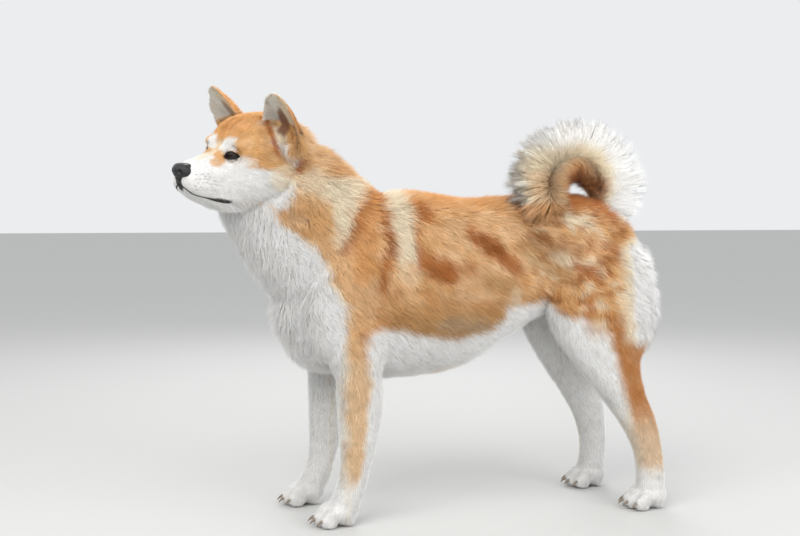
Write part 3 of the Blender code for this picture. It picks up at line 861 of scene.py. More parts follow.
def open_lids(local):
    """Wraps the skin round each eyeball as two lids, and sinks it behind the opening between them."""
    for side in SIDES:
        gaze = eye_axes(side)[3]
        u, v, w = by_eye(local, side)
        r = np.hypot(u, v)
        near = (r < 0.024) & (w > -0.010) & (w < 0.030)
        held = np.minimum(r, 0.84 * EYE_RADIUS)
        shell = EYE_RADIUS + LID_THICK
        lid = np.sqrt(shell**2 - held**2) - (r - held) * 0.62
        wrap = fall(r, 0.0205, 0.0080) * near
        w_new = w * (1 - wrap) + lid * wrap
        outside = beyond_lids(u, v)
        crease = np.exp(-(((outside - 0.0052) / 0.0012) ** 2)) * (v > 0) * near
        roll = np.exp(-(((outside - 0.0018) / 0.0015) ** 2)) * near
        w_new += 0.0007 * roll - 0.0011 * crease
        sunk = np.sqrt(np.maximum(EYE_RADIUS**2 - np.minimum(r, 0.97 * EYE_RADIUS) ** 2, 0)) - 0.0040
        open_share = fall(outside, 0.0003, 0.0009) * near
        w_new = w_new * (1 - open_share) + sunk * open_share
        local += ((w_new - w) * near)[:, None] * gaze


def make_skin():
    """The masses as one skin, finer and worked out round the face."""
    obj = fused("skin", skin_masses(), SKIN_VOXEL, 5)
    soften_body(obj)
    local = to_head(points_of(obj.data))
    ears = [(mirrored(EAR_BASE, side) + mirrored(EAR_TIP, side)) / 2 for side in SIDES]
    gaps = [lengths(local - middle) for middle in ears]
    soften(obj, np.minimum(*gaps) < 0.055, 3)
    for near in (near_face, near_details, near_eyes):
        finer(obj, near)
    soften(obj, np.ones(len(obj.data.vertices), bool), 2)
    points = points_of(obj.data)
    local = to_head(points)
    on_face = (local[:, 0] < 0.0) & (lengths(local) < 0.26)
    face = local[on_face]
    shape_face(face)
    open_lids(face)
    points[on_face] = from_head(face)
    points[:, 2] = np.maximum(points[:, 2], 0.0)
    set_points(obj.data, points)
    obj.data.shade_smooth()
    return obj


def unwrap(obj):
    """An unwrap of the skin's own shape, in the map OFBake."""
    bpy.context.view_layer.objects.active = obj
    obj.select_set(True)
    obj.data.uv_layers.new(name="OFBake")
    bpy.ops.object.mode_set(mode="EDIT")
    bpy.ops.mesh.select_all(action="SELECT")
    bpy.ops.uv.smart_project(angle_limit=UNWRAP_ANGLE, island_margin=0.001)
    bpy.ops.object.mode_set(mode="OBJECT")
    obj.select_set(False)


# ------------------------------------------------------------------ the lie of the coat
def body_guides():
    """Places on the body with the way the hair runs there, how far each is felt, and its kind of coat."""
    rows = []
    for x, wide, top, level, under in through(TRUNK, 2):
        deep = (top - under) / 2
        kind = "trunk" if x < 0.19 else "rump"
        rows.append(((x, 0, top), (1, 0, -0.05), 0.34 * deep, kind))
        rows.append(((x, 0, under), (1, 0, -0.05), 0.36 * deep, "belly"))
        for side in SIDES:
            rows.append(((x, side * wide, level + 0.45 * deep), (0.62, 0, -1.0), 0.45 * deep, kind))
            rows.append(((x, side * wide, level - 0.35 * deep), (1.0, 0, -0.75), 0.45 * deep, kind))
    rows.append(((-0.060, 0, 0.668), (1, 0, 0.05), 0.030, "withers"))
    line = through(NECK, 2)
    paths = unit(np.gradient(line[:, :3], axis=0))
    for (x, y, z, wide, deep), path in zip(line[2:], paths[2:]):
        rows.append(((x, y, z), path + np.array((0, 0, -0.45)), 0.85 * deep, "neck"))
    for z, x in ((0.58, -0.36), (0.52, -0.33), (0.46, -0.32), (0.40, -0.29)):
        rows.append(((x, 0, z), (0.15, 0, -1), 0.085, "breast"))
    rows.append(((-0.24, 0, 0.32), (0.75, 0, -0.8), 0.075, "breast"))
    for side in SIDES:
        for run, reach, kind, places in (
            ((0.40, 0, -1.0), 0.060, "breast", ((-0.205, 0.10, 0.47), (-0.185, 0.11, 0.40))),
            ((0.45, 0, -0.8), 0.065, "rump", ((0.33, 0.10, 0.52), (0.32, 0.11, 0.46), (0.34, 0.11, 0.40))),
            ((0.30, 0, -1), 0.052, "breeches", ((0.45, 0.07, 0.52), (0.46, 0.08, 0.45), (0.455, 0.08, 0.38))),
        ):
            rows += [(mirrored(at, side), run, reach, kind) for at in places]
        for which in LEG:
            line = leg_line(which, side)
            paths = unit(np.gradient(line[:, :3], axis=0))
            for (x, y, z, long, wide), path in zip(line, paths):
                if z < 0.37:
                    kind = "upper leg" if z > 0.23 else "lower leg"
                    rows.append(((x, y, z), path + np.array((0.10, 0, 0)), 0.55 * (long + wide), kind))
            x, y = foot_middle(which, side)
            rows.append(((x + 0.01, y, 0.032), (-0.8, 0, -0.7), 0.034, "foot"))
            rows.append(((x - 0.025, y, 0.018), (-0.9, 0, -0.5), 0.030, "foot"))
    return rows


# Guides of the head in its own frame: place (mm), the hair's run, how far each is felt (mm), kind of coat.
MIDDLE_GUIDES = (
    ((-205, 0, -20), (1, 0, 0.15), 22, "muzzle"),
    ((-170, 0, -10), (1, 0, 0.1), 28, "muzzle"),
    ((-135, 0, 0), (1, 0, 0.25), 28, "muzzle"),
    ((-110, 0, 20), (1, 0, 0.8), 24, "face"),
    ((-80, 0, 50), (1, 0, 0.8), 34, "face"),
    ((-35, 0, 75), (1, 0, 0.1), 45, "skull"),
    ((20, 0, 75), (1, 0, -0.2), 55, "skull"),
    ((75, 0, 55), (1, 0, -0.4), 60, "ruff"),
    ((-190, 0, -75), (1, 0, -0.3), 24, "muzzle"),
    ((-150, 0, -98), (1, 0, -0.2), 28, "muzzle"),
    ((-100, 0, -110), (1, 0, -0.3), 32, "cheek"),
    ((-50, 0, -115), (1, 0, -0.6), 45, "cheek"),
    ((10, 0, -120), (0.8, 0, -0.9), 60, "ruff"),
)
SIDE_GUIDES = (
    ((-185, 30, -40), (1, 0.3, -0.25), 22, "muzzle"),
    ((-150, 40, -45), (1, 0.25, -0.25), 26, "muzzle"),
    ((-125, 40, -10), (1, 0.5, -0.1), 20, "face"),
    ((-115, 50, -60), (1, 0.45, -0.35), 28, "face"),
    ((-90, 56, -28), (1, 0.6, -0.35), 24, "face"),
    ((-100, 30, 22), (0.7, 0.3, 0.9), 16, "face"),
    ((-70, 58, 20), (1, 0.6, 0.3), 22, "face"),
    ((-55, 75, -20), (1, 0.55, -0.2), 32, "cheek"),
    ((-60, 70, -70), (1, 0.4, -0.7), 34, "cheek"),
    ((-10, 90, -30), (1, 0.35, -0.6), 36, "cheek"),
    ((-15, 85, -75), (0.7, 0.3, -1), 36, "ruff"),
    ((35, 92, -30), (1, 0.2, -0.8), 45, "ruff"),
    ((40, 80, -80), (0.6, 0.1, -1), 48, "ruff"),
    ((-35, 50, 60), (1, 0.3, 0.3), 30, "skull"),
    ((50, 80, 25), (1, 0.1, -0.5), 40, "skull"),
)


def head_guides():
    """The same for the head, in its own frame."""
    rows = []
    for at, run, reach, kind in MIDDLE_GUIDES:
        rows.append((np.array(at) / PER_METRE, run, reach / PER_METRE, kind))
    for side in SIDES:
        for at, run, reach, kind in SIDE_GUIDES:
            rows.append((mirrored(at, side) / PER_METRE, mirrored(run, side), reach / PER_METRE, kind))
        base, tip, along, _, facing = ear_axes(side)
        for t in (0.12, 0.35, 0.60, 0.85):
            for out in (-0.012, 0.002):
                rows.append((base + (tip - base) * t + facing * out, along, 0.030 * (1.1 - 0.5 * t), "ear"))
    return [(from_head(at), HEAD_TURNED @ np.array(run), reach, kind) for at, run, reach, kind in rows]


def tail_guides():
    """The same for the tail: the hair runs along it."""
    middles = tail_line(22)[1]
    paths = unit(np.gradient(middles, axis=0))
    return [(m, path, 0.040, "tail") for m, path in zip(middles, paths)]


class Lie:
    """What the guides say of any place: the hair's run, and the coat's height, length, width and cover."""

    def __init__(self):
        rows = [*body_guides(), *head_guides(), *tail_guides()]
        self.at = np.array([row[0] for row in rows], float)
        self.run = unit(np.array([row[1] for row in rows], float))
        self.reach = np.array([row[2] for row in rows], float)
        self.kind = np.array([KINDS.index(row[3]) for row in rows])
        self.log_sizes = np.log(np.array([COATS[row[3]] for row in rows]))
        self.is_tail = np.array([row[3] == "tail" for row in rows])

    def felt(self, points):
        """A row for each point: the hair's run, the four sizes of COATS, and the tail's share in it."""
        told = np.concatenate([self.run, self.log_sizes, self.is_tail[:, None]], axis=1).astype(np.float32)
        at, squared = self.at.astype(np.float32), (self.at**2).sum(axis=1).astype(np.float32)
        rows = []
        for chunk in np.array_split(points.astype(np.float32), max(1, len(points) // AT_ONCE)):
            gap2 = (chunk**2).sum(axis=1)[:, None] + squared[None] - 2 * chunk @ at.T
            gap2 /= self.reach.astype(np.float32) ** 2
            weight = np.exp(-GUIDE_SHARPNESS * (gap2 - gap2.min(axis=1, keepdims=True)))
            weight /= weight.sum(axis=1, keepdims=True)
            rows.append(weight @ told)
        rows = np.concatenate(rows).astype(float)
        rows[:, 3:7] = np.exp(rows[:, 3:7])
        return rows


# ------------------------------------------------------------------ markings
def along_marks(points, marks, colours, soft, fray):
    """Paints stripes and blots over the colours, their edges moved in and out by fray."""
    for colour, path, half_width, strength in marks:
        path = np.array(path) / PER_METRE
        nearest = np.full(len(points), 1e9)
        for start, end in zip(path, path[1:]):
            run = end - start
            t = np.clip((points - start) @ run / (run @ run), 0, 1)
            nearest = np.minimum(nearest, lengths(points - start - t[:, None] * run))
        inside = half_width / PER_METRE - nearest + fray
        colours = mixed(colours, colour, strength * smooth(inside / soft + 0.5))
    return colours


def body_colours(points, normals):
    """Orange above, white below, with stripes and blots on neck and flank, and painted shade low on the
    flank.
    """
    x, y, z = points.T
    waves = noise(points * (1, 1, 1.7), 0.020, 6) + 0.5 * noise(points, 0.009, 8)
    hind = rise(x, 0.15, 0.08) * fall(z, 0.63, 0.03)
    low = fall(z, 0.50, 0.10) * (x > -0.16)
    colours = layered(
        np.tile(BUFF, (len(points), 1)),
        (TAN, 0.75 * smooth(0.5 + 0.9 * noise(points, 0.030, 5))),
        (ORANGE, 0.65 * rise(z, 0.585, 0.06) * (x > -0.13)),
        # the lower body is painted darker towards the bottom, partly its own tan and partly painted shade
        (TAN, 0.6 * low),
        (RUST, 0.30 * low * (1 - hind)),
        (CREAM, 0.75 * hind * smooth(1.5 * waves - 0.1)),
        (RUST, 0.60 * hind * smooth(-1.5 * waves)),
        (BROWN, 0.35 * hind * smooth(-2.2 * waves - 0.9)),
        (RUST, 0.28 * (1 - hind) * smooth(-1.4 * waves - 0.1)),
        (CREAM, 0.22 * (1 - hind) * smooth(1.4 * waves - 0.1)),
    )
    fray = 0.008 * noise(points, 0.011, 51) + 0.005 * noise(points, 0.0045, 52)
    colours = along_marks(points[:, [0, 2]], FLANK_MARKS, colours, 0.018, fray)
    shaded_lower_flank = fall(z, 0.465, 0.08) * rise(z, 0.30, 0.05) * rise(x, -0.12, 0.04)
    hind_leg = fall(z, 0.43, 0.05) * (x > 0.15)
    ahead = smooth((0.366 + 0.28 * (0.33 - z) - x) / 0.030 + 0.5)
    fore_leg = fall(z, 0.36, 0.05) * (x < 0.0)
    behind = smooth((x + 0.130 + 0.12 * (0.34 - z)) / 0.016 + 0.5)
    inner = fall(normals[:, 1] * np.sign(y), 0.25, 0.5)
    breast = np.interp(z, *np.transpose(BREAST_EDGE) / PER_METRE) - x
    belly = np.interp(x, *np.transpose(BELLY_EDGE) / PER_METRE) - z
    breech = x - np.interp(z, *np.transpose(BREECH_EDGE) / PER_METRE)
    under_trunk = rise(x, -0.16, 0.03) * fall(x, 0.33, 0.04)
    rear = rise(z, 0.33, 0.03) * (x > 0.3)
    return layered(
        colours,
        (BROWN, 0.45 * hind * smooth(-2.4 * noise(points, 0.0055, 53) - 1.0)),
        # painted shade on the lower flank
        (PAINTED_SHADE, 0.55 * shaded_lower_flank * (1 - rise(x, 0.20, 0.08))),
        # legs: tan outside and behind, white inside and in front, white paws
        (TAN, 0.6 * hind_leg * (1 - ahead)),
        (RUST, 0.58 * hind_leg * (1 - ahead)),
        (WHITE, hind_leg * ahead * fall(z, 0.40, 0.06)),
        (CREAM, 0.60 * hind_leg * fall(z, 0.24, 0.10)),
        (BUFF, 0.80 * fore_leg),
        (CREAM, 0.28 * fore_leg),
        (WHITE, fore_leg * behind),
        (WHITE, inner * fall(z, 0.42, 0.08)),
        (WHITE, fall(z, 0.105, 0.05)),
        # underparts
        (CREAM, 0.6 * rise(breast, -0.018, 0.026) * (x < 0)),
        (WHITE, smooth(breast / 0.020 + 0.5) * (x < 0)),
        (WHITE, smooth(belly / 0.020 + 0.5) * under_trunk * rise(z, 0.26, 0.06)),
        (CREAM, 0.9 * rear * rise(breech, -0.030, 0.028)),
        (WHITE, rear * smooth(breech / 0.022 + 0.1)),
    )


def in_ear(local, side, facings=None):
    """Shares of a head point: in the ear, in its open front, near its edge, and in its dark hollow."""
    base, tip, along, across, facing = ear_axes(side)
    rearward = across if across[0] > 0 else -across
    rel = local - base
    t = rel @ along / np.linalg.norm(tip - base)
    out, wide = rel @ facing, rel @ rearward
    ear_share = rise(t, 0.16, 0.10) * fall(np.abs(wide), EAR_HALF_WIDTH + 0.008, 0.006)
    ear_share *= fall(out, 0.017, 0.006) * (out > -0.05)
    front = rise(facings @ facing, -0.20, 0.35) if facings is not None else ear_share
    edge = rise(np.abs(wide), (EAR_HALF_WIDTH - 0.012) * (1 - 0.55 * t * t), 0.008)
    deep = smooth(1.30 - ((wide + 0.004) / 0.013) ** 2 - ((t - 0.20) / 0.44) ** 2)
    deep *= fall(out, 0.001, 0.006) * rise(out, -0.030, 0.006) * (t > -0.35) * (t < 1)
    return ear_share, front, edge, deep, wide


def head_colours(points, normals):
    """The marks of the face, and ears that are orange behind, pale in front, and flesh-coloured with painted
    shade in their hollow.
    """
    local, facings = to_head(points), normals @ HEAD_TURNED
    folded = np.abs(local * (0, 1, 0)) + local * (1, 0, 1)
    colours = np.tile(TAN, (len(points), 1))
    colours = mixed(colours, BUFF, 0.8 * smooth(0.5 + noise(points, 0.016, 9)))
    flecks = noise(points, 0.006, 12)
    colours = along_marks(folded, FACE_MARKS, colours, 0.009, 0.0016 * flecks)
    cheek = np.exp(-(((folded - (0.0, 0.088, -0.042)) / 0.026) ** 2).sum(axis=1))
    colours = mixed(colours, BUFF, 0.8 * cheek * smooth(1.8 * flecks - 0.2))
    for side in SIDES:
        share, front, edge, hollow, wide = in_ear(local, side, facings)
        wide = -side * wide
        colours = layered(
            colours,
            (ORANGE, 0.6 * share),
            (CREAM, 0.95 * share * np.maximum(front, edge * (wide < 0))),
            (WHITE, 0.60 * share * np.maximum(front, edge) * fall(wide, 0.004, 0.010)),
            (ORANGE, 0.75 * share * edge * (wide > 0)),
            # the hollow: flesh colour darkened as painted shade, more in the left ear than in the right
            (FLESH_IN_SHADE, (0.92 if side == LEFT else 0.60) * hollow * front),
        )
    return colours


def whisker_roots(side):
    """Where the whiskers of the lips grow: six rows of five on each side."""
    row, place = np.divmod(np.arange(30), 5)
    x = -0.179 + 0.0085 * place + 0.0035 * (row % 2)
    roots = np.stack([x, 0.031 + 0.0026 * place, -0.028 - 0.0064 * row - 0.0012 * place], axis=1)
    roots += np.random.default_rng(DOT_SEED).uniform(-0.0022, 0.0022, roots.shape)
    return roots * (1, side, 1)


def bare_colours(points, colours):
    """Black skin: the rims of the eyes, the roots of the whiskers, under the nose pad, and the soles."""
    local = to_head(points)
    for side in SIDES:
        for spot in whisker_roots(side):
            dot = fall(lengths((local - spot) * (1, 0.2, 1)), 0.0017, 0.0008)
            colours = mixed(colours, BLACK, 0.58 * dot)
        u, v, w = by_eye(local, side)
        near = (np.hypot(u, v) < 0.025) & (w > 0)
        colours = mixed(colours, BLACK, fall(beyond_lids(u * 0.88, v), 0.0034, 0.0012) * near)
    lip = lengths((local - (-0.198, 0, -0.055)) / (0.014, 0.0100, 0.0170))
    sole = fall(points[:, 2], 0.0030, 0.0020)
    return layered(colours, (BLACK, 0.92 * fall(lip, 1.15, 0.35)), (BLACK, 0.9 * sole))


def tail_colours(points):
    """White outside, cream inside, and rust down to brown round the hole of the curl."""
    x, _, z = points.T
    out = np.hypot(x - CURL_HOLE[0], z - CURL_HOLE[1]) + 0.008 * noise(points, 0.012, 14)
    left = fall(x, 0.300, 0.03)
    below = rise(x, 0.325, 0.02) * fall(z, 0.700, 0.03)
    return layered(
        np.tile(CREAM, (len(points), 1)),
        (WHITE, rise(out, 0.075, 0.030) * (1 - left * fall(z, 0.775, 0.04))),
        (WHITE, 0.75 * rise(out, 0.135, 0.020)),
        (BUFF, 0.70 * left * fall(z, 0.722, 0.05) * fall(out, 0.145, 0.03)),
        (BUFF, 0.70 * fall(out, 0.064, 0.022)),
        (ORANGE, 0.75 * fall(out, 0.047, 0.016) * (1 - 0.5 * left)),
        (RUST, 0.85 * below * fall(out, 0.085, 0.025)),
        (RUST, 0.85 * fall(out, 0.034, 0.012) * (1 - 0.5 * left)),
        (BROWN, 0.90 * fall(out, 0.024, 0.010) * (1 - 0.4 * left)),
        (ORANGE, 0.85 * left * fall(z, 0.632, 0.012)),
    )


def painted(points, normals, tails):
    """The colour of the coat at each place."""
    wander = np.stack([noise(points, 0.020, seed) for seed in (1, 2, 3)], axis=1)
    colours = body_colours(points + 0.006 * wander, normals)
    local = to_head(points)
    above = local[:, 0] - 0.055 + 0.35 * (local[:, 2] + 0.02)
    is_head = fall(above, 0.020, 0.040) * rise(local[:, 2], -0.128, 0.020) * (points[:, 0] < -0.2)
    is_head *= 1 - rise(np.abs(local[:, 1]), 0.096, 0.016) * fall(local[:, 2], -0.015, 0.02)
    near = is_head > 0
    head = head_colours(points[near] + 0.0022 * wander[near], normals[near])
    colours[near] += (head - colours[near]) * is_head[near, None]
    share = rise(tails, 0.3, 0.5)
    near = share > 0
    colours[near] += (tail_colours(points[near]) - colours[near]) * share[near, None]
    return colours


# ------------------------------------------------------------------ materials
def set_inputs(node, values):
    """Sets the node's own sockets."""
    for name, value in values.items():
        node.inputs[name].default_value = value


def new_material(name, roughness, sheen=0.0, specular=0.35):
    """A material with the sheen of its own fuzz, and the parts that its colour is linked with."""
    material = bpy.data.materials.new(name)
    material.use_nodes = True
    nodes, links = material.node_tree.nodes, material.node_tree.links
    shader = nodes["Principled BSDF"]
    set_inputs(shader, {"Roughness": roughness, "Specular IOR Level": specular})
    set_inputs(shader, {"Sheen Weight": sheen, "Sheen Roughness": 0.5})
    return material, nodes, links, shader


def texture(nodes, links, kind, settings):
    """A texture node laid out in the object's own coordinates."""
    place = nodes.new("ShaderNodeTexCoord")
    node = nodes.new(kind)
    set_inputs(node, settings)
    links.new(place.outputs["Object"], node.inputs["Vector"])
    return node


def fine_grain(nodes, links, scale):
    """An even noise, finer as the scale is larger."""
    settings = {"Scale": scale, "Detail": GRAIN_DETAIL}
    return texture(nodes, links, "ShaderNodeTexNoise", settings).outputs["Fac"]


def coat_paint(nodes):
    """The colours painted on the mesh."""
    paint = nodes.new("ShaderNodeAttribute")
    paint.attribute_name = "coat_colour"
    return paint.outputs["Color"]


def bumped(nodes, links, shader, height, strength, distance):
    """Roughens the shader's surface by a height."""
    bump = nodes.new("ShaderNodeBump")
    set_inputs(bump, {"Strength": strength, "Distance": distance})
    links.new(height, bump.inputs["Height"])
    links.new(bump.outputs["Normal"], shader.inputs["Normal"])


def two_tones(nodes, links, shader, pattern, first, last):
    """Colours the shader from first to last as the pattern rises."""
    tones = nodes.new("ShaderNodeValToRGB")
    for element, colour in zip(tones.color_ramp.elements, (first, last)):
        element.color = (*colour, 1)
    links.new(pattern, tones.inputs["Fac"])
    links.new(tones.outputs["Color"], shader.inputs["Base Color"])


def painted_material(name, roughness, sheen, specular, grain, share, bump=0.0):
    """Takes its colour from the painted attribute, varied by a share over a fine grain."""
    material, nodes, links, shader = new_material(name, roughness, sheen, specular)
    paint = coat_paint(nodes)
    flecks = fine_grain(nodes, links, grain)
    vary = nodes.new("ShaderNodeMapRange")
    set_inputs(vary, {"To Min": 1 - share, "To Max": 1 + share})
    links.new(flecks, vary.inputs["Value"])
    tint = nodes.new("ShaderNodeVectorMath")
    tint.operation = "SCALE"
    links.new(paint, tint.inputs[0])
    links.new(vary.outputs["Result"], tint.inputs["Scale"])
    links.new(tint.outputs["Vector"], shader.inputs["Base Color"])
    if bump:
        bumped(nodes, links, shader, flecks, strength=bump, distance=0.002)
    return material


def leather_material(name, colour, roughness, cells):
    """Pebbled bare skin, as on a nose."""
    material, nodes, links, shader = new_material(name, roughness)
    pebbles = texture(nodes, links, "ShaderNodeTexVoronoi", {"Scale": cells}).outputs["Distance"]
    two_tones(nodes, links, shader, pebbles, [1.6 * c for c in colour], [0.6 * c for c in colour])
    bumped(nodes, links, shader, pebbles, strength=0.5, distance=0.0006)
    return material


def horn_material(name, dark, light):
    """Streaks between a dark and a light tone, for claws and whiskers."""
    material, nodes, links, shader = new_material(name, roughness=0.4, specular=0.5)
    two_tones(nodes, links, shader, fine_grain(nodes, links, 260), dark, light)
    return material


def eye_material():
    """The painted eyeball under a clear wet coat."""
    glass, nodes, links, shader = new_material("eye", roughness=0.12, specular=0.10)
    links.new(coat_paint(nodes), shader.inputs["Base Color"])
    set_inputs(shader, {"Coat Weight": 0.5, "Coat Roughness": 0.03})
    return glass


# ------------------------------------------------------------------ the coat
def colour_attribute(mesh, colours):
    """Paints the mesh's points."""
    layer = mesh.attributes.new("coat_colour", "FLOAT_COLOR", "POINT")
    rgba = np.ones((len(colours), 4), np.float32)
    rgba[:, :3] = np.clip(colours, 0, 1)
    layer.data.foreach_set("color", rgba.ravel())


def skin_triangles(obj):
    """The corners of the skin's triangles, as vertex numbers and as places on its unwrap."""
    mesh = obj.data
    mesh.calc_loop_triangles()
    corners, loops = (table_of(mesh.loop_triangles, key, kind=np.int32) for key in ("vertices", "loops"))
    return corners, table_of(mesh.uv_layers["OFBake"].uv, "vector", columns=2)[loops]


def bareness(points):
    """0 where nothing grows: eyes, lids' edges, under the nose pad, lips, soles; 1 elsewhere."""
    grows = rise(points[:, 2], 0.003, 0.002)
    local = to_head(points)
    on_head = lengths(local) < 0.25
    local = local[on_head]
    bare = np.ones(len(local))
    for side in SIDES:
        u, v, w = by_eye(local, side)
        near = (np.hypot(u, v) < 0.025) & (w > 0)
        bare *= np.where(near, rise(beyond_lids(u, v), 0.0018, 0.0012), 1)
        for i, at in enumerate(lip_path(side, 26)):
            bare *= rise(lengths(local - at), LIP_BARE if i < 12 else MOUTH_BARE, 0.0012)
        bare *= 1 - 0.80 * in_ear(local, side)[3]
    pad = (local - np.array(NOSE_AT) - (0.002, 0, -0.004)) / (np.array(NOSE_RADII) * (1.0, 0.97, 1.15))
    bare *= rise(lengths(pad), 0.97, 0.08)
    grows[on_head] *= bare
    return grows


def tuft_roots(obj, felt, rng):
    """Where the tufts grow, denser where they are small, with what is felt there."""
    points, normals = points_of(obj.data), normals_of(obj.data)
    corners, places = skin_triangles(obj)
    a, b, c = points[corners].transpose(1, 0, 2)
    area = 0.5 * lengths(np.cross(b - a, c - a))
    density = felt[:, 6] / (felt[:, 4] * felt[:, 5]) * bareness(points)
    density *= 1.0
    growth = np.cumsum(area * density[corners].mean(axis=1))
    marks = np.arange(int(growth[-1])) + rng.random(int(growth[-1]))
    chosen = np.minimum(np.searchsorted(growth, marks), len(growth) - 1)
    s, t = rng.random((2, len(chosen), 1))
    s, t = np.where(s + t > 1, 1 - s, s), np.where(s + t > 1, 1 - t, t)
    shares = np.stack([1 - s - t, s, t], axis=1)
    at, normal, told = ((table[corners[chosen]] * shares).sum(axis=1) for table in (points, normals, felt))
    place = (places[chosen] * shares).sum(axis=1)
    keep = bareness(at) > rng.random(len(at)) * 0.5
    return at[keep], unit(normal)[keep], place[keep], told[keep]


def tail_hair(at, normal):
    """The lie of the tail's hair at each root.

    Gives the tips' height over the skin, the way along the tail, how far along the root is, how far it
    faces out of the curl, and how level that is.
    """
    t, middles, outward = tail_line(90)
    paths = unit(np.gradient(middles, axis=0))
    gap2 = ((at[:, None] - middles[None]) ** 2).sum(axis=2)
    nearest = gap2.argmin(axis=1)
    facing = (normal * outward[nearest]).sum(axis=1)
    outer, inner = tail_reach(t[nearest])
    across = np.sqrt(np.clip(1 - facing**2, 0, 1)) * outer
    height = np.hypot(facing * np.where(facing > 0, outer, inner), across) - np.sqrt(gap2.min(axis=1))
    return np.maximum(height, 0.012), paths[nearest], t[nearest], facing, np.abs(outward[nearest][:, 0])


def locks_of(at, size):
    """Which lock each tuft belongs to."""
    cells = np.floor(at / size[:, None] + 0.35 * noise(at, 0.016, 21)[:, None]).astype(np.int64)
    keys = (cells[:, 0] * 92821 + cells[:, 1]) * 68917 + cells[:, 2]
    return np.unique(keys, return_inverse=True)[1]


def gathered(tips, lock, pull):
    """Draws the tips of neighbouring tufts together into locks."""
    count = np.bincount(lock)
    middle = np.stack([np.bincount(lock, tips[:, i]) / count for i in range(3)], axis=1)
    return tips + (middle[lock] - tips) * pull[:, None]


def tail_lie(at, normal, rank, rng):
    """The height, reach and way of the tips of the tail's tufts, and how far each faces out of the curl."""
    tall, path, t, facing, sideways = tail_hair(at, normal)
    outer = rise(facing, -0.05, 0.30)
    spike = rise(rank, 0.40, 0.50) * (0.28 + 0.18 * sideways) * outer
    tall *= rng.uniform(0.76, 1.04, len(at)) * (1 + spike) + 0.08 * outer * sideways
    lateral = np.clip(1 - facing**2, 0, 1)
    tall *= 1 - 0.30 * lateral
    lean = tall * (0.22 + 1.10 * lateral + 0.60 * rise(t, 0.92, 0.08)) * rng.uniform(0.5, 1.3, len(at))
    radial = (at - (CURL_HOLE[0], 0, CURL_HOLE[1])) * (1, 0, 1)
    path = 0.45 * path + unit(radial) * (0.3 + lateral)[:, None] + 0.22 * rng.normal(size=path.shape)
    path -= normal * (path * normal).sum(axis=1, keepdims=True)
    return tall, lean, unit(path), outer, facing


def grow_coat(obj, felt):
    """All tufts: their roots, tips, widths, colours, shading and places on the unwrap."""
    rng = np.random.default_rng(COAT_SEED)
    at, normal, place, told = tuft_roots(obj, felt, rng)
    count = len(at)
    run, height, length, width, tails = told[:, :3], told[:, 3], told[:, 4], told[:, 5], told[:, 7]
    # the run of the hair, swirling most on the hindquarters
    hind = rise(at[:, 0], 0.16, 0.08) * rise(at[:, 2], 0.33, 0.06)
    run = unit(run - normal * (run * normal).sum(axis=1, keepdims=True))
    side = np.cross(run, normal)
    unruly = 0.10 + 0.20 * rise(length, 0.009, 0.010)
    swirl = 0.30 * noise(at, 0.026, 31) + 0.25 * noise(at, 0.010, 32) + unruly * rng.normal(size=count)
    swirl += hind * (0.75 * noise(at, 0.017, 35) + 0.25 * noise(at, 0.008, 36))
    run = unit(run + side * swirl[:, None])
    height = height * (1.0 + 0.22 * noise(at, 0.020, 33)) * rng.uniform(0.55, 1.08, count)
    length = length * (1.0 + 0.15 * noise(at, 0.025, 34)) * rng.uniform(0.75, 1.15, count)
    height = np.minimum(height, 0.92 * length)
    reach = np.sqrt(length**2 - height**2)
    # the tail's own hair
    on_tail = np.flatnonzero(tails > TAIL_FROM)
    share = rise(tails[on_tail], TAIL_FROM, 0.4)
    lock = locks_of(at, np.where(tails > TAIL_FROM, TAIL_LOCK, BODY_LOCK))
    rank = rng.random(lock.max() + 1)[lock[on_tail]]
    tall, lean, path, outer, facing = tail_lie(at[on_tail], normal[on_tail], rank, rng)
    height[on_tail] += (tall - height[on_tail]) * share
    reach[on_tail] += (lean - reach[on_tail]) * share
    run[on_tail] = unit(run[on_tail] * (1 - share)[:, None] + path * share[:, None])
    side = unit(np.cross(run, normal))
    length = np.hypot(height, reach)
    # roots and tips
    pull = np.where(length > 0.014, 0.24, 0.12)
    pull[on_tail] = 0.20 + 0.42 * outer
    tip = gathered(at + run * reach[:, None] + normal * height[:, None], lock, pull)
    tip[:, 2] = np.maximum(tip[:, 2], TIP_FLOOR)
    middle = at + run * (0.42 * reach)[:, None] + normal * (0.60 * height)[:, None]
    root = at - normal * np.minimum(0.12 * height, 0.0012)[:, None]
    root[:, 2] = np.maximum(root[:, 2], ROOT_FLOOR)
    # colours near the root and at the tip
    tone = 1.0 + 0.08 * noise(at, 0.012, 41) + 0.07 * rng.normal(size=count)
    tone *= (1.0 + 0.06 * rng.normal(size=lock.max() + 1))[lock]
    jitter = rng.normal(size=(count, 3)) * np.minimum(0.12 * length, 0.0036)[:, None]
    seen = at + run * (0.60 * reach)[:, None] * (1 - rise(tails, 0.3, 0.4))[:, None]
    colours = painted(seen + jitter, normal, tails)
    ends = np.array(colours)
    ends[on_tail] += (tail_colours(tip[on_tail]) - ends[on_tail]) * share[:, None]
    colours[on_tail] = 0.5 * colours[on_tail] + 0.5 * ends[on_tail]
    colours = np.clip(bare_colours(at, colours) * tone[:, None], 0, BRIGHTEST)
    ends = np.clip(bare_colours(at, ends) * (tone * 1.04)[:, None], 0, BRIGHTEST)
    # the roots are painted darker than the colours above them, as painted shade deep in the coat
    under = colours * (0.80 + 0.12 * colours.mean(axis=1, keepdims=True) ** 0.5)
    # each tuft is shaded as its skin faces, but on the tail's curl more sideways and up
    shade = np.array(normal)
    shade[on_tail, 1] += share * 0.9 * np.tanh(3 * normal[on_tail, 1]) * (1 - rise(facing, 0.05, 0.35))
    shade[on_tail, 2] += share * 0.35
    shape = dict(root=root, middle=middle, tip=tip, side=side, normal=normal, width=width)
    return dict(**shape, shade=unit(shade), under=under, ends=ends, place=place)


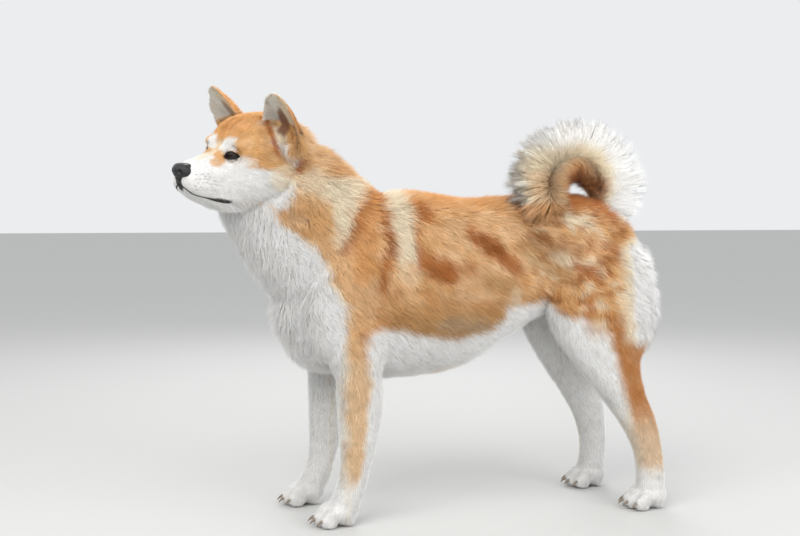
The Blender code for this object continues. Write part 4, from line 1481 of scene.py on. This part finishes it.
# A tuft is a spike of four triangles: three corners round its root, and its tip.
ROOT_TURNS = [math.radians(turn) for turn in (90, 210, 330)]
TUFT_FACES = ((0, 1, 2), (0, 3, 1), (1, 3, 2), (2, 3, 0))
PATCH = ((-1, -1), (1, -1), (0, -0.4), (0, 1))  # its place on the unwrap, as shares of PATCH_HALF
PATCH_HALF = 0.0015
FLATNESS = 0.50  # a tuft's thickness, as a share of its width
SKIN_SHARE = 0.55  # how far a tuft is shaded like the skin it lies on


def tuft_object(name, coat, chosen, material):
    """The chosen tufts as one mesh."""
    mine = {key: rows[chosen] for key, rows in coat.items()}
    half, shade = 0.50 * mine["width"][:, None], mine["shade"]
    corners, facing = [], []
    for turn in ROOT_TURNS:
        level, lift = mine["side"] * math.cos(turn), mine["normal"] * math.sin(turn)
        corners.append(mine["root"] + (level + FLATNESS * lift) * half)
        facing.append(unit(SKIN_SHARE * shade + (level + lift) * (1 - SKIN_SHARE)))
    corners.append(mine["tip"])
    facing.append(shade)
    # the corners round the root take the darker root colours, painted shade deep in the coat
    tints = [mine["under"]] * len(ROOT_TURNS) + [mine["ends"]]
    corners, facing, tints = (np.stack(part, axis=1).reshape(-1, 3) for part in (corners, facing, tints))
    places = (mine["place"][:, None] + PATCH_HALF * np.array(PATCH)[None]).reshape(-1, 2)
    loops = (len(PATCH) * np.arange(len(chosen))[:, None] + np.ravel(TUFT_FACES)[None]).ravel()
    mesh = bpy.data.meshes.new(name)
    mesh.vertices.add(len(corners))
    mesh.vertices.foreach_set("co", corners.astype(np.float32).ravel())
    mesh.loops.add(len(loops))
    mesh.loops.foreach_set("vertex_index", loops.astype(np.int32))
    mesh.polygons.add(len(loops) // 3)
    mesh.polygons.foreach_set("loop_start", np.arange(0, len(loops), 3, dtype=np.int32))
    mesh.update(calc_edges=True)
    layer = mesh.uv_layers.new(name="OFBake")
    layer.uv.foreach_set("vector", places[loops].astype(np.float32).ravel())
    colour_attribute(mesh, tints)
    mesh.shade_smooth()
    mesh.normals_split_custom_set_from_vertices(facing.astype(np.float32))
    mesh.materials.append(material)
    return make_object(name, mesh)


# Each coat piece, and the nodes of the solids whose hair it holds; all but the tail's are split by side.
COAT_PIECES = {
    "head": ("head", "ear_left", "ear_right", "nose", "eye_left", "eye_right"),
    "neck": ("neck",),
    "chest": ("chest",),
    "rump": ("rump",),
    "foreleg": ("foreleg_left", "foreleg_right", "forepaw_left", "forepaw_right"),
    "hindleg": ("hindleg_left", "hindleg_right", "hindpaw_left", "hindpaw_right"),
    "tail_root": ("tail_root",),
    "tail_curl": ("tail_middle", "tail_tip"),
}
COAT_SLOTS = dict.fromkeys(("foreleg", "hindleg", "tail_root", "tail_curl"), "white_coat")


def nearest_nodes(points):
    """The name of the solid nearest each point."""
    marks = [(name, at) for name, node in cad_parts.items() for at in points_of(node.data)]
    tree = kdtree.KDTree(len(marks))
    for i, (_, at) in enumerate(marks):
        tree.insert(at - (BACK_BY, 0, 0), i)
    tree.balance()
    return np.array([marks[tree.find(at)[1]][0] for at in points])


def coat_objects(coat, material):
    """The coat's pieces, each tuft in the piece of the solid that is nearest its middle."""
    owners = nearest_nodes(coat["middle"])
    on_head = np.isin(owners, COAT_PIECES["head"])
    on_left = np.where(on_head, to_head(coat["root"])[:, 1] < 0, coat["root"][:, 1] < 0)
    pieces = []
    for part, nodes in COAT_PIECES.items():
        mine = np.isin(owners, nodes)
        halves = {"_left": mine & on_left, "_right": mine & ~on_left}
        if part.startswith("tail"):
            halves = {"": mine}
        for suffix, members in halves.items():
            piece = tuft_object(f"coat_{part}{suffix}", coat, np.flatnonzero(members), material)
            pieces.append(piece)
    return pieces


# ------------------------------------------------------------------ eyes, nose, lips, claws, whiskers
PUPIL, IRIS_DARK = (0.002, 0.002, 0.002), (0.010, 0.004, 0.002)
IRIS, LIMBUS = (0.030, 0.011, 0.004), (0.006, 0.004, 0.003)


def eyeball(side):
    """A globe with a bulging cornea, its iris and pupil painted by their distance from the gaze."""
    middle, corner, lift, gaze = eye_axes(side)
    angles = np.concatenate([np.linspace(0.02, 0.80, 22), np.linspace(0.86, 3.12, 22)])
    turns = np.linspace(0, 2 * math.pi, 48, endpoint=False)
    rings = []
    for angle in angles:
        radius = EYE_RADIUS + 0.0009 * math.exp(-((angle / 0.52) ** 4)) - 0.0004
        spoke = np.cos(turns)[:, None] * corner + np.sin(turns)[:, None] * lift
        rings.append(middle + radius * (math.cos(angle) * gaze + math.sin(angle) * spoke))
    globe = loft("eyeball_" + ("left" if side == LEFT else "right"), rings, dome=0)
    points = points_of(globe.data) - middle
    angle = np.arccos(np.clip(unit(points) @ gaze, -1, 1))
    round_it = np.arctan2(points @ lift, points @ corner)
    fibres = 0.5 + 0.5 * np.sin(37 * round_it + 3 * np.sin(11 * round_it))
    colours = mixed(np.tile(IRIS_DARK, (len(points), 1)), IRIS, 0.7 * fibres * rise(angle, 0.2, 0.2))
    colours = mixed(colours, PUPIL, fall(angle, 0.26, 0.04))
    colours = mixed(colours, LIMBUS, rise(angle, 0.58, 0.08))
    colour_attribute(globe.data, colours)
    globe.data.shade_smooth()
    return set_on([globe], HEAD_FRAME)[0]


def lid_rim(side):
    """The black edge of the lids, lying on the eyeball."""
    middle, corner, lift, gaze = eye_axes(side)
    turns = np.linspace(0, 2 * math.pi, 56, endpoint=False)
    u = LID_HALF * np.cos(turns)
    v = np.where(np.sin(turns) > 0, *lid_edges(u)) - LID_LOW
    r = np.minimum(np.hypot(u, v), 0.93 * EYE_RADIUS)
    w = np.sqrt((EYE_RADIUS + 0.0004) ** 2 - r**2)
    path = middle + u[:, None] * corner + v[:, None] * lift + w[:, None] * gaze
    return tube("rim", [*path, path[0], path[1]], np.full(58, RIM_RADIUS), sides=8)


def nose_pad():
    """The bare pad, with comma-shaped nostrils and the furrow down its middle."""
    x, _, z = NOSE_AT
    pieces = [
        ball("pad", NOSE_AT, NOSE_RADII),
        ball("bridge end", (x + 0.006, 0, z + 0.004), (0.0145, 0.0175, 0.0125)),
        ball("lower pad", (x + 0.0015, 0, z - 0.013), (0.0128, 0.0130, 0.0140)),
    ]
    for side in SIDES:
        pieces.append(ball("wing", (x + 0.001, side * 0.0135, z - 0.002), (0.0115, 0.0092, 0.0105)))
    pad = fused("nose_pad", pieces, NOSE_VOXEL, 3)
    points = points_of(pad.data)
    for side in SIDES:
        for t in np.linspace(0, 1, 6):
            at = (x - 0.0125 + 0.0085 * t, side * (0.0072 + 0.0095 * t), z - 0.0010 - 0.0035 * t)
            push(points, at, 0.0026, (0.0022 - 0.0008 * t, side * -0.0014 * t, 0.0004))
        push(points, (x - 0.011, side * 0.0095, z - 0.001), 0.0042, (0.0075, 0, 0.0005))
        push(points, (x - 0.010, side * 0.0100, z + 0.012), 0.0080, (0.0030, 0, -0.0015))
    over = points[:, 2] - (z + 0.0110)
    points[:, 2] -= np.where(over > 0, 0.60 * over, 0) - 0.0014
    for step in np.linspace(-0.018, 0.004, 9):
        push(points, (x - 0.0148 + 0.5 * abs(step + 0.006), 0, z + step), 0.0016, (0.0010, 0, 0))
    set_points(pad.data, points)
    pad.data.shade_smooth()
    return set_on([pad], HEAD_FRAME)[0]


def sunk_in(tree, at, depth):
    """The skin's nearest point to at, moved in by a depth."""
    found, normal, _, _ = tree.find_nearest(Vector(at))
    return np.array(found) - depth * np.array(normal)


def lips(skin_tree):
    """The black edge of the lips, from under the nose to the corners of the mouth."""
    t = np.linspace(0, 1, 40)
    radii = 0.0019 + 0.0034 * rise(t, 0.48, 0.25) - 0.0040 * rise(t, 0.82, 0.18)
    pieces = []
    for side in SIDES:
        path = [sunk_in(skin_tree, at, 0.0002) for at in from_head(lip_path(side, len(t)))]
        pieces.append(tube("lip", path, radii, sides=10))
    start, end = (from_head(np.array(at)) for at in ((-0.2010, 0, -0.0440), (-0.1985, 0, -0.0590)))
    groove = [sunk_in(skin_tree, start * (1 - t) + end * t, 0.0003) for t in np.linspace(0, 1, 8)]
    pieces.append(tube("philtrum", groove, np.full(len(groove), 0.0012), sides=8))
    return joined("lips", pieces)


def claws():
    """A short curved claw on each toe."""
    pieces = []
    steps = np.linspace(0, 1, 7)
    curve = [Vector((-0.0150 - 0.0125 * t, 0, 0.0010 - 0.0085 * t * t)) for t in steps]
    radii = [0.0031 * (1 - t) ** 0.7 + 0.0005 for t in steps]
    for which in LEG:
        for side in SIDES:
            for middle, _, splay in toes(which, side):
                pieces.append(tube("claw", [middle + splay @ at for at in curve], radii, sides=8))
    nails = joined("claws", pieces)
    set_points(nails.data, np.maximum(points_of(nails.data), (-9, -9, CLAW_FLOOR)))
    return nails


def whiskers(skin_tree):
    """Stiff hairs on the lips, brows and cheeks, each tapering to a point."""
    rng = np.random.default_rng(WHISKER_SEED)
    pieces = []
    for side in SIDES:
        starts = [tuple(at) for at in whisker_roots(RIGHT)[6:22:2]]
        starts += [(-0.092, 0.036, 0.026), (-0.088, 0.040, 0.027), (-0.075, 0.070, -0.050)]
        for start in starts:
            found, normal, _, _ = skin_tree.find_nearest(Vector(from_head(mirrored(start, side))))
            out = np.array(HEAD_FRAME.to_3x3().inverted() @ normal)
            run = unit(out * 0.8 + np.array((0.9, 0, -0.15)) + 0.12 * rng.normal(size=3))
            long = rng.uniform(0.018, 0.030)
            t = np.linspace(0, 1, 6)[:, None]
            path = to_head(np.array(found)) + run * t * long + np.array((0.10, 0, -0.10)) * long * t**2
            pieces.append(tube("whisker", from_head(path), 0.00028 * (1 - t[:, 0]) + 0.00005, sides=5))
    return joined("whiskers", pieces)


# ------------------------------------------------------------------ stage, light and camera
FLOOR_HALF = 30.0
# Each light's name, place, target, size, power and colour.
LIGHTS = (
    ("key", (-1.6, -2.0, 3.0), (0, 0, 0.4), 2.6, 85, (1.0, 0.98, 0.95)),
    ("fill", (1.7, -2.4, 1.5), (0.1, 0, 0.4), 2.6, 52, (1.0, 1.0, 1.0)),
    ("catch", (-1.3, -2.3, 1.75), (-0.42, -0.06, 0.75), 0.20, 3.0, (1.0, 1.0, 1.0)),
    ("rim", (0.6, 2.4, 2.2), (0, 0, 0.5), 1.6, 30, (1.0, 1.0, 1.0)),
)
LENS, SENSOR_WIDTH = 52, 36
CAMERA_AT, CAMERA_TURN = (-0.592, -2.308, 0.62), (math.radians(87.127), 0, math.radians(-13.4))


def area_light(name, at, target, size, power, colour):
    """A square soft light turned to its target."""
    light = bpy.data.lights.new(name, "AREA")
    light.shape, light.size, light.energy, light.color = "SQUARE", size, power, colour
    obj = make_object(name, light)
    obj.location = at
    obj.rotation_euler = (Vector(target) - Vector(at)).to_track_quat("-Z", "Y").to_euler()


def stage():
    """A pale floor, a pale world and four soft lights."""
    mesh = bpy.data.meshes.new("floor")
    corners = [(FLOOR_HALF * x, FLOOR_HALF * y, 0) for x, y in ((-1, -1), (1, -1), (1, 1), (-1, 1))]
    mesh.from_pydata(corners, [], [(0, 1, 2, 3)])
    floor = make_object("floor", mesh)
    material, _, _, shader = new_material("floor", roughness=0.9)
    set_inputs(shader, {"Base Color": (0.55, 0.55, 0.54, 1)})
    mesh.materials.append(material)
    world = bpy.data.worlds.new("studio")
    world.use_nodes = True
    set_inputs(world.node_tree.nodes["Background"], {"Color": (0.97, 0.985, 1.0, 1), "Strength": 0.86})
    bpy.context.scene.world = world
    for light in LIGHTS:
        area_light(*light)


def camera():
    """The camera of the main view."""
    data = bpy.data.cameras.new("camera")
    data.lens, data.sensor_width = LENS, SENSOR_WIDTH
    obj = make_object("camera", data)
    obj.location = CAMERA_AT
    obj.rotation_euler = CAMERA_TURN
    bpy.context.scene.camera = obj
    bpy.context.scene.view_settings.view_transform = "Standard"


# ------------------------------------------------------------------ the whole dog
FLESH_NODES = [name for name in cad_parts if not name.startswith(("eye", "nose"))]


def main():
    """Makes every piece and hangs it on the body's root."""
    skin = make_skin()
    unwrap(skin)
    points, normals = points_of(skin.data), normals_of(skin.data)
    tree = BVHTree.FromObject(skin, bpy.context.evaluated_depsgraph_get())
    felt = Lie().felt(points)
    colours = bare_colours(points, painted(points, normals, felt[:, 7]) * SKIN_TONE)
    colour_attribute(skin.data, colours)
    hide = painted_material("skin", roughness=0.85, sheen=0.0, specular=0.2, grain=900, share=0.20, bump=0.6)
    skin.data.materials.append(hide)

    coat = grow_coat(skin, felt)
    hair = painted_material("coat", roughness=0.80, sheen=0.05, specular=0.10, grain=700, share=0.08)
    pieces = [skin, *coat_objects(coat, hair)]

    eyes = [eyeball(side) for side in SIDES]
    glass = eye_material()
    for eye in eyes:
        eye.data.materials.append(glass)
    rims = joined("lid_rims", set_on([lid_rim(side) for side in SIDES], HEAD_FRAME))
    pad, mouth = nose_pad(), lips(tree)
    black = leather_material("nose leather", (0.016, 0.015, 0.016), roughness=0.38, cells=900)
    edges = leather_material("lip skin", (0.013, 0.011, 0.011), roughness=0.45, cells=1400)
    for piece, material in ((pad, black), (rims, edges), (mouth, edges)):
        piece.data.materials.append(material)
    nails, hairs = claws(), whiskers(tree)
    nails.data.materials.append(horn_material("claw", (0.10, 0.07, 0.05), (0.32, 0.26, 0.20)))
    hairs.data.materials.append(horn_material("whisker", (0.10, 0.08, 0.07), (0.75, 0.72, 0.68)))
    pieces += [*eyes, rims, pad, mouth, nails, hairs]
    set_on(pieces, Matrix.Translation((BACK_BY, 0, 0)))
    for piece in pieces:
        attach(piece, "root")
    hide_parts(*FLESH_NODES)
    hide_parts("eye_left")
    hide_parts("eye_right")
    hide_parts("nose")


main()
stage()
camera()
